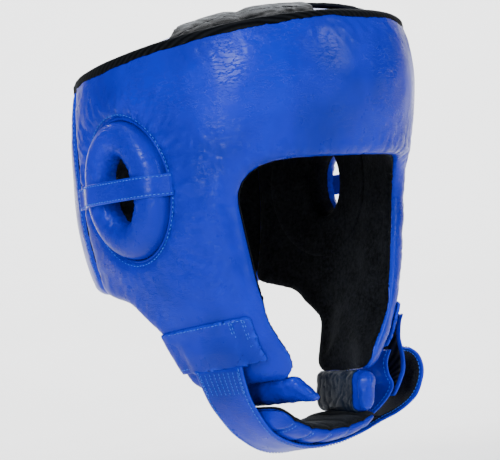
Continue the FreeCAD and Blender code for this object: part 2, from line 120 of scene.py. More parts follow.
def meet(radius, *fields):
    """The space inside every field, with edges rounded to a radius."""
    stack = np.stack(fields)
    corner = np.sqrt((np.maximum(stack + radius, 0) ** 2).sum(axis=0))
    return np.minimum(-radius, stack.max(axis=0)) + corner


def rounded_path(corners, radii, steps=7):
    """A closed polygon's points, with each corner replaced by a tangent arc of its radius."""
    points = []
    count = len(corners)
    for i, corner in enumerate(np.array(corners, float)):
        if radii[i] <= 0:
            points.append(corner)
            continue
        before = np.array(corners[i - 1], float) - corner
        after = np.array(corners[(i + 1) % count], float) - corner
        before /= np.linalg.norm(before)
        after /= np.linalg.norm(after)
        half = math.acos(float(np.clip(before @ after, -1, 1))) / 2
        sweep = math.pi - 2 * half
        bisector = (before + after) / np.linalg.norm(before + after)
        centre = corner + bisector * radii[i] / math.sin(half)
        start = corner + before * radii[i] / math.tan(half) - centre
        end = corner + after * radii[i] / math.tan(half) - centre
        for t in np.linspace(0, 1, steps):
            arm = start * math.sin((1 - t) * sweep) + end * math.sin(t * sweep)
            points.append(centre + arm / math.sin(sweep))
    return np.array(points)


class Outline:
    """Signed distance to a closed 2-D outline, looked up in a fine table."""
    step = 1.0

    def __init__(self, points):
        border, furthest = 20, FAR + 30
        self.low = np.maximum(points.min(axis=0) - border, -furthest)
        high = np.minimum(points.max(axis=0) + border, furthest)
        self.counts = ((high - self.low) / self.step).astype(int) + 2
        axes = (self.low[k] + self.step * np.arange(self.counts[k]) for k in (0, 1))
        u, v = np.meshgrid(*axes, indexing="ij")
        nearest = np.full(u.shape, 1e9)
        inside = np.zeros(u.shape, bool)
        for a, b in zip(points, np.roll(points, -1, axis=0)):
            edge = b - a
            length = max(edge @ edge, 1e-9)
            t = np.clip(((u - a[0]) * edge[0] + (v - a[1]) * edge[1]) / length, 0, 1)
            nearest = np.minimum(nearest, np.hypot(u - a[0] - t * edge[0], v - a[1] - t * edge[1]))
            crosses = (a[1] > v) != (b[1] > v)
            if a[1] != b[1]:
                inside ^= crosses & (u < a[0] + (v - a[1]) * edge[0] / edge[1])
        self.table = np.where(inside, -nearest, nearest)

    def __call__(self, u, v):
        s = np.clip((u - self.low[0]) / self.step, 0, self.counts[0] - 1.001)
        t = np.clip((v - self.low[1]) / self.step, 0, self.counts[1] - 1.001)
        i, j = s.astype(int), t.astype(int)
        s, t = s - i, t - j
        table = self.table
        return ((table[i, j] * (1 - s) + table[i + 1, j] * s) * (1 - t)
                + (table[i, j + 1] * (1 - s) + table[i + 1, j + 1] * s) * t)


# ---------------------------------------------------------------- meshes from fields
def gradient(field, p, h=0.3):
    """Slope of a field at some points."""
    slope = np.empty_like(p)
    for k in range(3):
        step = np.zeros(3)
        step[k] = h
        slope[:, k] = field(p + step) - field(p - step)
    return slope / (2 * h)


def surface(field, low, high, step):
    """A closed quad mesh where a field is zero: one vertex per crossed cell, then pulled onto the surface."""
    axes = [np.arange(low[k], high[k] + step, step) for k in range(3)]
    shape = tuple(len(a) for a in axes)
    values = np.empty(shape)
    for i, x in enumerate(axes[0]):
        y, z = np.meshgrid(axes[1], axes[2], indexing="ij")
        values[i] = field(np.stack([np.full(y.size, x), y.ravel(), z.ravel()], axis=1)).reshape(y.shape)
    inside = values < 0
    cells = tuple(n - 1 for n in shape)
    total, hits = np.zeros(cells + (3,)), np.zeros(cells)
    crossings = []
    for axis in range(3):
        near = [slice(None)] * 3
        far = [slice(None)] * 3
        near[axis], far[axis] = slice(0, -1), slice(1, None)
        a, b = values[tuple(near)], values[tuple(far)]
        crossed = inside[tuple(near)] != inside[tuple(far)]
        where = np.argwhere(crossed)
        t = a[crossed] / (a[crossed] - b[crossed])
        place = where.astype(float)
        place[:, axis] += t
        crossings.append((where, inside[tuple(near)][crossed]))
        others = [k for k in range(3) if k != axis]
        for da in (0, 1):
            for db in (0, 1):
                cell = where.copy()
                cell[:, others[0]] -= da
                cell[:, others[1]] -= db
                ok = np.all((cell >= 0) & (cell < np.array(cells)), axis=1)
                index = tuple(cell[ok].T)
                np.add.at(total, index, place[ok])
                np.add.at(hits, index, 1)
    used = hits > 0
    number = np.full(cells, -1)
    number[used] = np.arange(used.sum())
    verts = total[used] / hits[used][:, None] * step + np.array(low, float)
    quads = []
    for axis, (where, starts_inside) in enumerate(crossings):
        b, c = (axis + 1) % 3, (axis + 2) % 3
        ring = []
        for db, dc in ((0, 0), (1, 0), (1, 1), (0, 1)):
            cell = where.copy()
            cell[:, b] -= db
            cell[:, c] -= dc
            ring.append(number[tuple(np.clip(cell, 0, np.array(cells) - 1).T)])
        quad = np.stack(ring, axis=1)
        quad[~starts_inside] = quad[~starts_inside][:, ::-1]
        quads.append(quad)
    for _ in range(4):
        slope = gradient(field, verts)
        size = np.maximum((slope ** 2).sum(axis=1), 0.05)
        pull = field(verts) / size
        verts = verts - np.clip(pull, -step, step)[:, None] * slope
    return verts, np.concatenate(quads)


def normals_of(verts, faces):
    """Unit vertex normals of a mesh whose faces all have the same number of corners."""
    corners = verts[faces]
    face_normal = np.cross(corners[:, 1] - corners[:, 0], corners[:, -1] - corners[:, 0])
    if faces.shape[1] == 4:
        face_normal += np.cross(corners[:, 3] - corners[:, 2], corners[:, 1] - corners[:, 2])
    total = np.zeros_like(verts)
    for k in range(faces.shape[1]):
        np.add.at(total, faces[:, k], face_normal)
    return unit(total)


def clip(verts, faces, value):
    """The part of a mesh where a per-vertex value is negative, cut exactly along zero."""
    if faces.shape[1] == 4:
        faces = np.concatenate([faces[:, [0, 1, 2]], faces[:, [0, 2, 3]]])
    value = np.where(np.abs(value) < 1e-5, -1e-5, value)
    inside = value[faces] < 0
    count = inside.sum(axis=1)
    kept = [faces[count == 3]]
    verts_out, made = [verts], {}

    def cut(i, j):
        key = (min(i, j), max(i, j))
        if key not in made:
            t = value[i] / (value[i] - value[j])
            verts_out.append((verts[i] * (1 - t) + verts[j] * t)[None])
            made[key] = len(verts) + len(made)
        return made[key]

    extra = []
    crossed = (count == 1) | (count == 2)
    for face, flags in zip(faces[crossed], inside[crossed]):
        alone = flags.sum() == 1
        k = int(np.argmax(flags == alone))
        a, b, c = face[k], face[(k + 1) % 3], face[(k + 2) % 3]
        ab, ac = cut(a, b), cut(a, c)
        extra += [(a, ab, ac)] if alone else [(ab, b, c), (ab, c, ac)]
    if extra:
        kept.append(np.array(extra))
    used, faces = np.unique(np.concatenate(kept), return_inverse=True)
    return np.concatenate(verts_out)[used], faces.reshape(-1, 3)


def thick(verts, faces, low, high, normal=None):
    """A closed sheet made from an open patch, from offset low to offset high along its normals."""
    edge_bulge = 0.35
    if normal is None:
        normal = normals_of(verts, faces)
    edges = np.concatenate([faces[:, [k, (k + 1) % faces.shape[1]]] for k in range(faces.shape[1])])
    twin = {(b, a) for a, b in edges.tolist()}
    rim_edges = np.array([e for e in edges.tolist() if tuple(e) not in twin])
    count = len(verts)
    bulge = normal * (low + high) / 2
    out = np.zeros_like(verts)
    if len(rim_edges):
        run = verts[rim_edges[:, 1]] - verts[rim_edges[:, 0]]
        side = np.cross(run, normal[rim_edges[:, 0]])
        for k in (0, 1):
            np.add.at(out, rim_edges[:, k], side)
    out = unit(out) * (high - low) * edge_bulge
    layers = np.concatenate([verts + normal * high, verts + normal * low, verts + bulge + out])
    sides = []
    for a, b in rim_edges.tolist():
        sides.append((a, a + 2 * count, b + 2 * count, b))
        sides.append((a + 2 * count, a + count, b + count, b + 2 * count))
    polygons = faces.tolist() + (faces[:, ::-1] + count).tolist() + sides
    return layers, polygons


# ---------------------------------------------------------------- Blender objects
def place_object(name, data):
    """A new object in the scene."""
    made = bpy.data.objects.new(name, data)
    bpy.context.scene.collection.objects.link(made)
    return made


def add_mesh(name, verts, faces, body, material, replaces=(), fill=None, bend=None):
    """A Blender object from points in mm, riding on a body, or, when bend points are given, left in place on
    no body.
    """
    mesh = bpy.data.meshes.new(name)
    faces = faces if isinstance(faces, list) else faces.tolist()
    mesh.from_pydata((np.asarray(verts) * MM).tolist(), [], faces)
    mesh.validate()
    used = np.zeros(len(mesh.vertices), bool)
    loops = np.zeros(len(mesh.loops), np.int32)
    mesh.loops.foreach_get("vertex_index", loops)
    used[loops] = True
    if not used.all():
        remap = np.cumsum(used) - 1
        rebuilt = bpy.data.meshes.new(name)
        co = np.asarray(verts)[used] * MM
        rebuilt.from_pydata(co.tolist(), [], [[int(remap[i]) for i in p.vertices] for p in mesh.polygons])
        bpy.data.meshes.remove(mesh)
        mesh = rebuilt
    mesh.polygons.foreach_set("use_smooth", [True] * len(mesh.polygons))
    mesh.update()
    piece = place_object(name, mesh)
    mesh.materials.append(material)
    if bend is None:
        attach(piece, body)
    else:
        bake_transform(piece)
    if replaces:
        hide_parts(*replaces)


def both_sides(name):
    """The two names of a piece that is on both sides, and the factor that mirrors it to each."""
    return ((name + "_right", 1), (name + "_left", -1))


def mirrored(verts, faces, factor):
    """A mesh built on the wearer's right, as it is or mirrored to the left."""
    if factor == 1:
        return verts, faces
    flip = verts * np.array((-1, 1, 1))
    if isinstance(faces, list):
        return flip, [list(f)[::-1] for f in faces]
    return flip, faces[:, ::-1]


# ---------------------------------------------------------------- materials
class Shading:
    """A material's node tree, with short calls for the nodes used here."""

    def __init__(self, name):
        self.material = bpy.data.materials.new(name)
        self.material.use_nodes = True
        self.tree = self.material.node_tree
        self.shader = self.tree.nodes["Principled BSDF"]
        self.place = self.tree.nodes.new("ShaderNodeTexCoord").outputs["Object"]

    def node(self, kind, inputs=(), **settings):
        made = self.tree.nodes.new("ShaderNode" + kind)
        for key, value in settings.items():
            setattr(made, key, value)
        for key, value in dict(inputs).items():
            self.put(made.inputs[key], value)
        return made

    def put(self, socket, value):
        if isinstance(value, bpy.types.NodeSocket):
            self.tree.links.new(value, socket)
        else:
            socket.default_value = value

    def stretched(self, scale):
        return self.node("Mapping", {"Vector": self.place, "Scale": scale}).outputs["Vector"]

    def noise(self, scale, detail=4.0, rough=0.55, distortion=0.0, place=None):
        inputs = {"Vector": place or self.place, "Scale": scale, "Detail": detail, "Roughness": rough,
                  "Distortion": distortion}
        return self.node("TexNoise", inputs).outputs["Fac"]

    def cells(self, scale, feature="F1", place=None):
        inputs = {"Vector": place or self.place, "Scale": scale}
        return self.node("TexVoronoi", inputs, feature=feature).outputs["Distance"]

    def waves(self, scale, distortion):
        inputs = {"Vector": self.place, "Scale": scale, "Distortion": distortion, "Detail": 2.0}
        return self.node("TexWave", inputs, bands_direction="DIAGONAL").outputs["Fac"]

    def ramp(self, value, stops):
        made = self.node("ValToRGB", {"Fac": value})
        elements = made.color_ramp.elements
        while len(elements) < len(stops):
            elements.new(0.5)
        for element, (at, colour) in zip(elements, stops):
            element.position = at
            element.color = colour if hasattr(colour, "__len__") else (colour, colour, colour, 1)
        return made.outputs["Color"]

    def maths(self, operation, a, b):
        return self.node("Math", {0: a, 1: b}, operation=operation).outputs[0]

    def bump(self, height, distance, strength=1.0, normal=None):
        inputs = {"Height": height, "Distance": distance, "Strength": strength}
        if normal is not None:
            inputs["Normal"] = normal
        return self.node("Bump", inputs).outputs["Normal"]

    def finish(self, **sockets):
        for key, value in sockets.items():
            self.put(self.shader.inputs[key.replace("_", " ")], value)
        return self.material


def rgb(r, g, b):
    """An opaque colour."""
    return (r, g, b, 1.0)


def leather(name, deep, full, worn, gloss, shine_level, index=1.5):
    """Grained leather: pebble grain, patches of fine creases, cloudy colour, paler worn ridges."""
    s = Shading(name)
    tint = s.ramp(s.noise(16.0, 3.0), [(0.30, deep), (0.62, full)])
    ridges = s.node("NewGeometry").outputs["Pointiness"]
    wear = s.maths("MULTIPLY", s.ramp(ridges, [(0.515, 0.0), (0.58, 1.0)]), s.noise(180.0, 3.0))
    colour = s.node("Mix", {"Factor": wear, 6: tint, 7: worn}, data_type="RGBA").outputs[2]
    pebble = s.cells(900.0, "DISTANCE_TO_EDGE")
    creases = s.ramp(s.noise(120.0, 5.0, 0.55, 0.35, s.stretched((1.0, 1.0, 3.4))),
                     [(0.46, 0.0), (0.5, 1.0), (0.54, 0.0)])
    patches = s.ramp(s.noise(22.0, 2.0), [(0.42, 0.0), (0.66, 1.0)])
    lines = s.maths("MULTIPLY", creases, patches)
    fine = s.bump(pebble, 0.00008, 0.4)
    soft = s.bump(lines, 0.0004, 0.5, fine)
    dents = s.bump(s.noise(48.0, 2.0), 0.0010, 0.18, soft)
    shine = s.ramp(s.noise(70.0, 4.0), [(0.3, gloss - 0.05), (0.7, gloss + 0.07)])
    return s.finish(Base_Color=colour, Roughness=shine, Normal=dents, Specular_IOR_Level=shine_level,
                    IOR=index)


def suede(name, dark, light, scale=420.0):
    """Napped lining: mottled short pile with a soft sheen."""
    s = Shading(name)
    nap = s.noise(scale, 5.0, 0.75)
    patches = s.noise(60.0, 4.0, 0.6)
    speck = s.maths("ADD", s.maths("MULTIPLY", nap, 0.7), s.maths("MULTIPLY", patches, 0.3))
    colour = s.ramp(speck, [(0.40, dark), (0.66, light)])
    rough = s.bump(nap, 0.0006, 0.8)
    return s.finish(Base_Color=colour, Roughness=0.95, Normal=rough, Sheen_Weight=0.06, Sheen_Roughness=0.5,
                    Specular_IOR_Level=0.08)


def webbing(name, dark, light, pitch=0.0011, sheen=0.2):
    """Woven tape: a fine over-and-under weave with a little fuzz."""
    s = Shading(name)
    across = s.waves(1 / pitch / 6.28, 0.6)
    fuzz = s.noise(900.0, 3.0)
    weave = s.maths("ADD", s.maths("MULTIPLY", across, 0.6), s.maths("MULTIPLY", fuzz, 0.4))
    colour = s.ramp(weave, [(0.25, dark), (0.8, light)])
    return s.finish(Base_Color=colour, Roughness=0.72, Normal=s.bump(weave, 0.0003, 0.6), Sheen_Weight=sheen,
                    Specular_IOR_Level=0.3, IOR=1.15)


def thread(name, dark, light):
    """Twisted sewing thread."""
    s = Shading(name)
    twist = s.waves(900.0, 0.4)
    return s.finish(Base_Color=s.ramp(twist, [(0.2, dark), (0.8, light)]), Roughness=0.5,
                    Normal=s.bump(twist, 0.0001, 0.6))


BLUE = leather("blue_leather", rgb(0.0001, 0.009, 0.36), rgb(0.0002, 0.015, 0.62), rgb(0.004, 0.05, 0.85),
               0.30, 0.30)
BLACK = leather("black_leather", rgb(0.002, 0.002, 0.0025), rgb(0.005, 0.005, 0.006), rgb(0.02, 0.02, 0.022),
                0.50, 0.3, 1.2)
# Painted shade: a dark slate-blue copy of the blue leather, for the left jaw pad's inner face as it looks in
# shadow.
PAINTED_SHADE_SLATE = leather("painted_shade_slate_leather", rgb(0.008, 0.014, 0.026), rgb(0.013, 0.022, 0.042), rgb(0.03, 0.05, 0.09),
                0.5, 0.25)
LINING = suede("suede_lining", rgb(0.0008, 0.0008, 0.0009), rgb(0.020, 0.020, 0.022))
BINDING = webbing("black_binding", rgb(0.002, 0.002, 0.0025), rgb(0.010, 0.010, 0.011), sheen=0.04)
LOOP = suede("loop_tape", rgb(0.003, 0.003, 0.004), rgb(0.030, 0.030, 0.034), 900.0)
HOOK = webbing("hook_tape", rgb(0.003, 0.003, 0.004), rgb(0.030, 0.030, 0.034), 0.0016, 0.05)
THREAD = thread("blue_thread", rgb(0.01, 0.06, 0.6), rgb(0.06, 0.22, 0.95))


# ---------------------------------------------------------------- leather creases, in mm of depth
def wrinkles(u, v, seed):
    """Narrow creases that run along v: 0 on the flat, 1 at a crease's bottom."""
    out = np.empty(len(u))
    for i in range(len(u)):
        n = noise.noise((u[i], v[i], seed)) + 0.45 * noise.noise((2.3 * u[i], 2.3 * v[i], seed + 9.0))
        out[i] = math.exp(-(n / 0.16) ** 2)
    return out


def squared(value, power):
    """A sine or cosine with its corners pushed out, which turns a circle into a rounded square."""
    return math.copysign(abs(value) ** power, value)


def lumps(p, size, seed):
    """Soft uneven filling: about -1 to 1."""
    scaled = p / size + seed
    return np.array([noise.noise(q) for q in scaled.tolist()])


def near(value, centre, width):
    """A smooth bell of height 1."""
    return np.exp(-((value - centre) / width) ** 2)


# ---------------------------------------------------------------- the shell
def front_outline():
    """Side view of the forehead and cheeks."""
    high = 130
    corners = [(-FAR, high), (-FAR, BROW), (FACE_EDGE, BROW), (FACE_EDGE, -132), (1, -136), (7, -97),
               (30, -75), (WING_EDGE, BACK_HEM), (WING_EDGE, high)]
    return rounded_path(corners, [0, 0, 26, 12, 12, 14, 30, 9, 0])


FRONT = Outline(front_outline())
GAP_SIDE = [(34, -170), (40, -118), (60, -92), (60, -40)]
CHIN_GAP = Outline(rounded_path(GAP_SIDE + [(-x, z) for x, z in reversed(GAP_SIDE)],
                                [0, 26, 24, 0, 0, 24, 26, 0]))


def oval(y, z, half_y, half_z):
    """Distance to an upright oval round the ear."""
    u, v = (y - EAR_Y) / half_y, (z - EAR_Z) / half_z
    g = np.maximum(np.hypot(u, v), 1e-6)
    return (g - 1) / np.maximum(np.hypot(u / half_y, v / half_z) / g, 1e-6)


def shell_field(p):
    """Forehead, wings and cheeks as one soft pad, with a valley round each ear ring."""
    ear = oval(p[:, 1], p[:, 2], *EAR_SEAM)
    sink = VALLEY_DEPTH * near(ear, 0, VALLEY_WIDTH) * (np.abs(p[:, 0]) > 60)
    outer = head(p) + sink
    side = FRONT(p[:, 1], p[:, 2])
    pinch = PINCH * near(np.maximum(-side, 0), 0, PINCH_WIDTH) * np.clip((20 - p[:, 1]) / 30, 0, 1)
    inner = -head(p, padding(p) * (1 - pinch))
    gap = np.where(p[:, 1] < 0, -CHIN_GAP(p[:, 0], p[:, 2]), -FAR)
    body = meet(EDGE_ROUND, outer, inner, np.maximum(side, gap))
    body = meet(SEAM_ROUND, body, rim(p))
    return meet(SEAM_ROUND, body, -ear)


def shell_depth(p):
    """How far the shell's leather is pushed in at each point, in mm."""
    x, y, z = p.T
    ear = oval(y, z, *EAR_SEAM)
    angle = np.arctan2(z - EAR_Z, y - EAR_Y)
    arc = np.arctan2(x, -y) * 105
    side = np.abs(x) > 55
    upper = 0.6 + near(angle, 2.1, 0.9) + 0.5 * near(angle, 0.7, 0.7)
    radial = wrinkles(angle * 9, ear / 26, 3.0) * near(ear, 8, 15) * side * (0.25 + upper)
    cheek = near(y, -44, 24) * side * near(z, -32, 50)
    slant = z - 0.45 * (y + 45)
    folds = wrinkles(slant / 9.5, arc / 34, 7.0) * cheek
    pucker = wrinkles(slant / 4.2, arc / 13, 9.0) * cheek
    brow = wrinkles(arc / 8.0, z / 20, 11.0) * near(z, BROW + 3, 17) * (y < -55)
    corner = wrinkles((arc + z) / 7.0, (arc - z) / 24, 13.0) * near(y, -66, 18) * near(z, 14, 22) * side
    top = wrinkles((arc + z) / 7.5, (arc - z) / 22, 15.0) * near(rim(p), -13, 11) * 0.8
    hem = wrinkles((arc - 0.8 * z) / 9.0, z / 26, 19.0) * near(FRONT(y, z), -11, 9) * (z < -50)
    creases = 0.75 * radial + 0.95 * folds + 0.5 * pucker + 0.6 * brow + 0.7 * corner + 0.5 * top + 0.65 * hem
    return creases - 0.8 * lumps(p, 38, 5.0) - 0.35 * lumps(p, 13, 6.0)


def dent(verts, faces, depth):
    """Pushes vertices in along their normals."""
    return verts - normals_of(verts, faces) * depth[:, None]


def panel(field, low, high, depth, step=2.0, skin=4.0):
    """A soft leather panel, creased on the outside only, down to skin mm below the head shape."""
    verts, faces = surface(field, low, high, step)
    outside = np.clip(1 + head(verts, skin) / skin, 0, 1)
    return dent(verts, faces, depth(verts) * outside), faces


def lining_patch(verts, faces, edge):
    """The faces of a panel that look inwards, up to an edge, as a thin sheet."""
    turned = (normals_of(verts, faces) * unit(gradient(head, verts))).sum(axis=1)
    limit = np.where(verts[:, 1] > 42, 0.4, -0.4)
    patch, patch_faces = clip(verts, faces, np.maximum(edge(verts) + 1.0, 6 * (turned - limit)))
    return thick(patch, patch_faces, 0.15, 1.5)


# ---------------------------------------------------------------- tools for straps, welts and stitches
def smooth_curve(points, count):
    """Points evenly spread along a smooth curve through given points."""
    p = np.array(points, float)
    p = np.concatenate([[2 * p[0] - p[1]], p, [2 * p[-1] - p[-2]]])
    t = np.linspace(0, len(points) - 1.0001, 24 * len(points))
    i = t.astype(int)
    t = (t - i)[:, None]
    a, b, c, d = p[i], p[i + 1], p[i + 2], p[i + 3]
    square, cube = 2 * a - 5 * b + 4 * c - d, 3 * b - a - 3 * c + d
    line = 0.5 * (2 * b + (c - a) * t + square * t ** 2 + cube * t ** 3)
    run = np.concatenate([[0], np.cumsum(np.linalg.norm(np.diff(line, axis=0), axis=1))])
    at = np.linspace(0, run[-1], count)
    return np.stack([np.interp(at, run, line[:, k]) for k in range(line.shape[1])], axis=1)


def direction(curve):
    """Unit tangents of a run of points."""
    return unit(np.gradient(curve, axis=0))


def grid_faces(rows, columns, closed_rows=False, closed_columns=True):
    """Quads of a grid of points, row after row."""
    faces = []
    for i in range(rows if closed_rows else rows - 1):
        for j in range(columns if closed_columns else columns - 1):
            a, b = i * columns + j, i * columns + (j + 1) % columns
            c = ((i + 1) % rows) * columns + (j + 1) % columns
            faces.append((a, b, c, ((i + 1) % rows) * columns + j))
    return faces


def capped_faces(rows, sides):
    """Faces of a tube of points, row after row, closed at both ends."""
    faces = [f[::-1] for f in grid_faces(rows, sides)]
    faces.append(list(range(sides)))
    faces.append([(rows - 1) * sides + k for k in range(sides)][::-1])
    return faces


def strap_mesh(edge_a, edge_b, low, high, rows=70, columns=14, ripple=0.0, seed=0.0):
    """A band between two edge curves, from offset low to offset high on its left side, with soft edges."""
    groove, groove_at = 0.12, 0.84
    a, b = smooth_curve(edge_a, rows), smooth_curve(edge_b, rows)
    middle = (a + b) / 2
    along = direction(middle)
    across = b - a
    normal = unit(np.cross(along, across))
    share = np.linspace(-1, 1, columns)
    share = np.sign(share) * (1 - (1 - np.abs(share)) ** 1.4)
    half = (high - low) / 2
    body = half * (1 - 0.55 * np.abs(share) ** 10) * (1 - groove * near(np.abs(share), groove_at, 0.05))
    end = np.minimum(np.arange(rows), np.arange(rows)[::-1])
    taper = np.where(end == 0, 0.45, 1.0)
    wave = np.array([[noise.noise((i * 0.11, j * 0.25, seed)) for j in range(columns)] for i in range(rows)])
    centre = (low + high) / 2 + ripple * wave
    verts = []
    for i in range(rows):
        spine = middle[i] + across[i] * share[:, None] / 2 + normal[i] * centre[i][:, None]
        rise = normal[i] * (body * taper[i])[:, None]
        verts += [spine + rise, (spine - rise)[::-1]]
    return np.concatenate(verts), capped_faces(rows, 2 * columns)


def spaced(line, normal, pitch):
    """Places a pitch apart on a run of points, with directions and normals."""
    run = np.concatenate([[0], np.cumsum(np.linalg.norm(np.diff(line, axis=0), axis=1))])
    at = np.arange(pitch / 2, run[-1], pitch)
    return [np.stack([np.interp(at, run, rows[:, k]) for k in range(3)], axis=1)
            for rows in (line, direction(line), normal)]


STITCHES = {}


def stitch(group, place, along, up, length=2.1, radius=0.4):
    """Adds small rounded stitches to a group: rings of points along each, sunk at both ends."""
    sides = 6
    rings = ((-0.5, 0.35, -0.6), (-0.28, 1.0, 0), (0.28, 1.0, 0), (0.5, 0.35, -0.6))
    along = unit(along)
    side = unit(np.cross(up, along))
    up = np.cross(along, side)
    verts, faces = STITCHES.setdefault(group, ([], []))
    base = sum(len(v) for v in verts)
    tube = [face[::-1] for face in capped_faces(len(rings), sides)]
    for p, t, s, n in zip(place, along, side, up):
        for shift, size, drop in rings:
            for k in range(sides):
                turn = 2 * math.pi * k / sides
                rise = radius * (drop + size * math.sin(turn))
                verts.append((p + t * length * shift + n * rise + s * radius * size * math.cos(turn))[None])
        faces += [tuple(base + k for k in face) for face in tube]
        base += len(rings) * sides


def sew_line(group, line, up, pitch, factor=1, length=2.1, radius=0.4):
    """A row of stitches along a run of points, or along its mirror image."""
    flip = np.array((factor, 1, 1))
    stitch(group, *spaced(line * flip, up * flip, pitch), length, radius)


def sew(group, edge_a, edge_b, share, offset, pitch=3.1, length=2.1, radius=0.4):
    """A row of stitches along a strap: share is -1 at one edge and 1 at the other."""
    a, b = smooth_curve(edge_a, 200), smooth_curve(edge_b, 200)
    normal = unit(np.cross(direction((a + b) / 2), b - a))
    line = a * (1 - share) / 2 + b * (1 + share) / 2 + normal * offset
    sew_line(group, line, normal, pitch, 1, length, radius)


def cast(field, start, ray):
    """Where rays from some places (x, y, z) meet the surface of a field, and the surface's normals there."""
    p = np.stack(np.broadcast_arrays(*start), axis=-1).astype(float)
    for _ in range(90):
        p += np.array(ray) * np.clip(field(p), -6, 6)[:, None] * 0.7
    return p, unit(gradient(field, p))


def loop_mesh(line, radius, sides=8):
    """A round rope along a closed run of points."""
    along = direction(line)
    side = unit(np.cross(along, (0.13, 0.21, 0.97)))
    up = np.cross(side, along)
    verts = []
    for k in range(len(line)):
        for j in range(sides):
            turn = 2 * math.pi * j / sides
            verts.append(line[k] + radius * (side[k] * math.cos(turn) + up[k] * math.sin(turn)))
    return np.array(verts), grid_faces(len(line), sides, True)


# ---------------------------------------------------------------- the shell, its lining and its seams
def make_shell():
    """The shell's pad and its suede lining."""
    verts, faces = panel(shell_field, (-118, -132, -142), (118, 68, 108), shell_depth)
    add_mesh("shell_pad", verts, faces, "headgear", BLUE, ("shell_cover", "shell_foam"), fill=0.85)

    def edge(p):
        return np.maximum(FRONT(p[:, 1], p[:, 2]) + 0.5, rim(p) + 4)

    sheet, polygons = lining_patch(verts, faces, edge)
    add_mesh("shell_suede", sheet, polygons, "headgear", LINING, ("shell_lining",))
    return verts, faces


def make_cheek_bands(verts, faces):
    """A leather band sewn round each lower cheek, cut from the shell's own surface so that it hugs it."""
    front, back = FACE_EDGE + 4, 12
    corners = [(front, -89.5), (front + 2, -117.5), (back - 8, -123), (back - 8, -96.5)]
    zone = Outline(rounded_path(corners, [2, 2, 0, 0]))
    value = np.maximum.reduce([zone(verts[:, 1], verts[:, 2]), -head(verts, 7.0), verts[:, 0]])
    patch, patch_faces = clip(verts, faces, value)
    normal = normals_of(patch, patch_faces)
    for name, factor in both_sides("cheek_band"):
        p = patch.copy()
        crease = wrinkles(p[:, 1] / 8, p[:, 2] / 14, 31.0 + factor) * near(p[:, 2], -96, 9)
        p -= normal * (0.5 * crease)[:, None]
        if factor == 1:
            # The strap's sewn end is under this one.
            bulge = near(np.clip(p[:, 1], -50, -14) - p[:, 1], 0, 4) * np.clip((-100 - p[:, 2]) / 9, 0, 1)
            p += normal * (2.3 * bulge)[:, None]
        sheet, polygons = thick(p, patch_faces, 0.3, 2.6, normal)
        add_mesh(name, *mirrored(sheet, polygons, factor), "headgear", BLUE, (name,))
    lines = [[(front + 1.8, -91.3), (front + 3.6, -115.6)], [(front + 3.2, -91.4), (front + 5.0, -115.8)],
             [(front + 10, -92.2), (front + 11.5, -116.6)], [(front + 11.5, -92.4), (front + 13, -116.7)],
             [(front + 2, -91.4), (front + 12, -92.6)], [(front + 5, -115.6), (front + 13, -116.6)],
             [(front + 13, -92.6), (2, -97.6)], [(front + 14, -116.8), (2, -121.4)]]
    for (y0, z0), (y1, z1) in lines:
        t = np.linspace(0, 1, 40)
        start = (-125, y0 + (y1 - y0) * t, z0 + (z1 - z0) * t)
        line, up = cast(lambda q: shell_field(q) - 2.5, start, (1, 0, 0))
        for factor in (1, -1):
            sew_line("headgear", line, up, 2.9, factor, 2.0, 0.42)


# ---------------------------------------------------------------- ear rings and ear straps
def ring_field(p):
    """The padded ring on the wearer's right."""
    shape = oval(p[:, 1], p[:, 2], *EAR_SEAM)
    hole = -oval(p[:, 1], p[:, 2], *EAR_HOLE)
    proud = head(p, -RING_PROUD)
    inner = -head(p, PADDING - 1.5)
    return np.maximum(meet(RING_ROUND, shape + 0.4, hole, proud), meet(5.0, shape + 0.4, hole, inner))


def ring_depth(p):
    """Creases that fan out from the ear hole."""
    x, y, z = p.T
    angle = np.arctan2((z - EAR_Z) / EAR_SEAM[1], (y - EAR_Y) / EAR_SEAM[0])
    out = oval(y, z, *EAR_HOLE)
    fan = wrinkles(angle * 7.5, out / 22, 21.0) * near(out, 2, 12)
    tuck = wrinkles(angle * 12.0, out / 16, 25.0) * near(out, 0, 7)
    waist = near(z, EAR_Z, 9) * near(out, 11, 9)
    return 0.75 * fan + 0.5 * tuck + 0.5 * waist - 0.35 * lumps(p, 20, 3.0)


def make_ears(joined):
    """The ear rings with their linings, welts and straps; joined is the field of the shell with the ring."""
    verts, faces = panel(ring_field, (-122, -36, -50), (-78, 50, 50), ring_depth, 1.6, 6.0)
    turned = normals_of(verts, faces)[:, 0]
    from_hole = oval(verts[:, 1], verts[:, 2], *EAR_HOLE)
    inside = np.maximum(head(verts, 7.0), np.minimum(5 * (0.12 - turned), from_hole - 5.5))
    suede_verts, suede_faces = thick(*clip(verts, faces, inside), 0.15, 1.4)
    for name, factor in both_sides("ear_ring"):
        side = name.split("_")[-1]
        ring, ring_faces = mirrored(verts, faces, factor)
        add_mesh(name, ring, ring_faces, "headgear", BLUE,
                 ("ear_ring_cover_" + side, "ear_ring_foam_" + side), fill=0.95)
        add_mesh("ear_suede_" + side, *mirrored(suede_verts, suede_faces, factor), "headgear", LINING)
        add_mesh("ear_collar_" + side, *mirrored(*ear_collar(), factor), "headgear", LINING)
    make_ear_welts(joined)
    make_ear_straps()


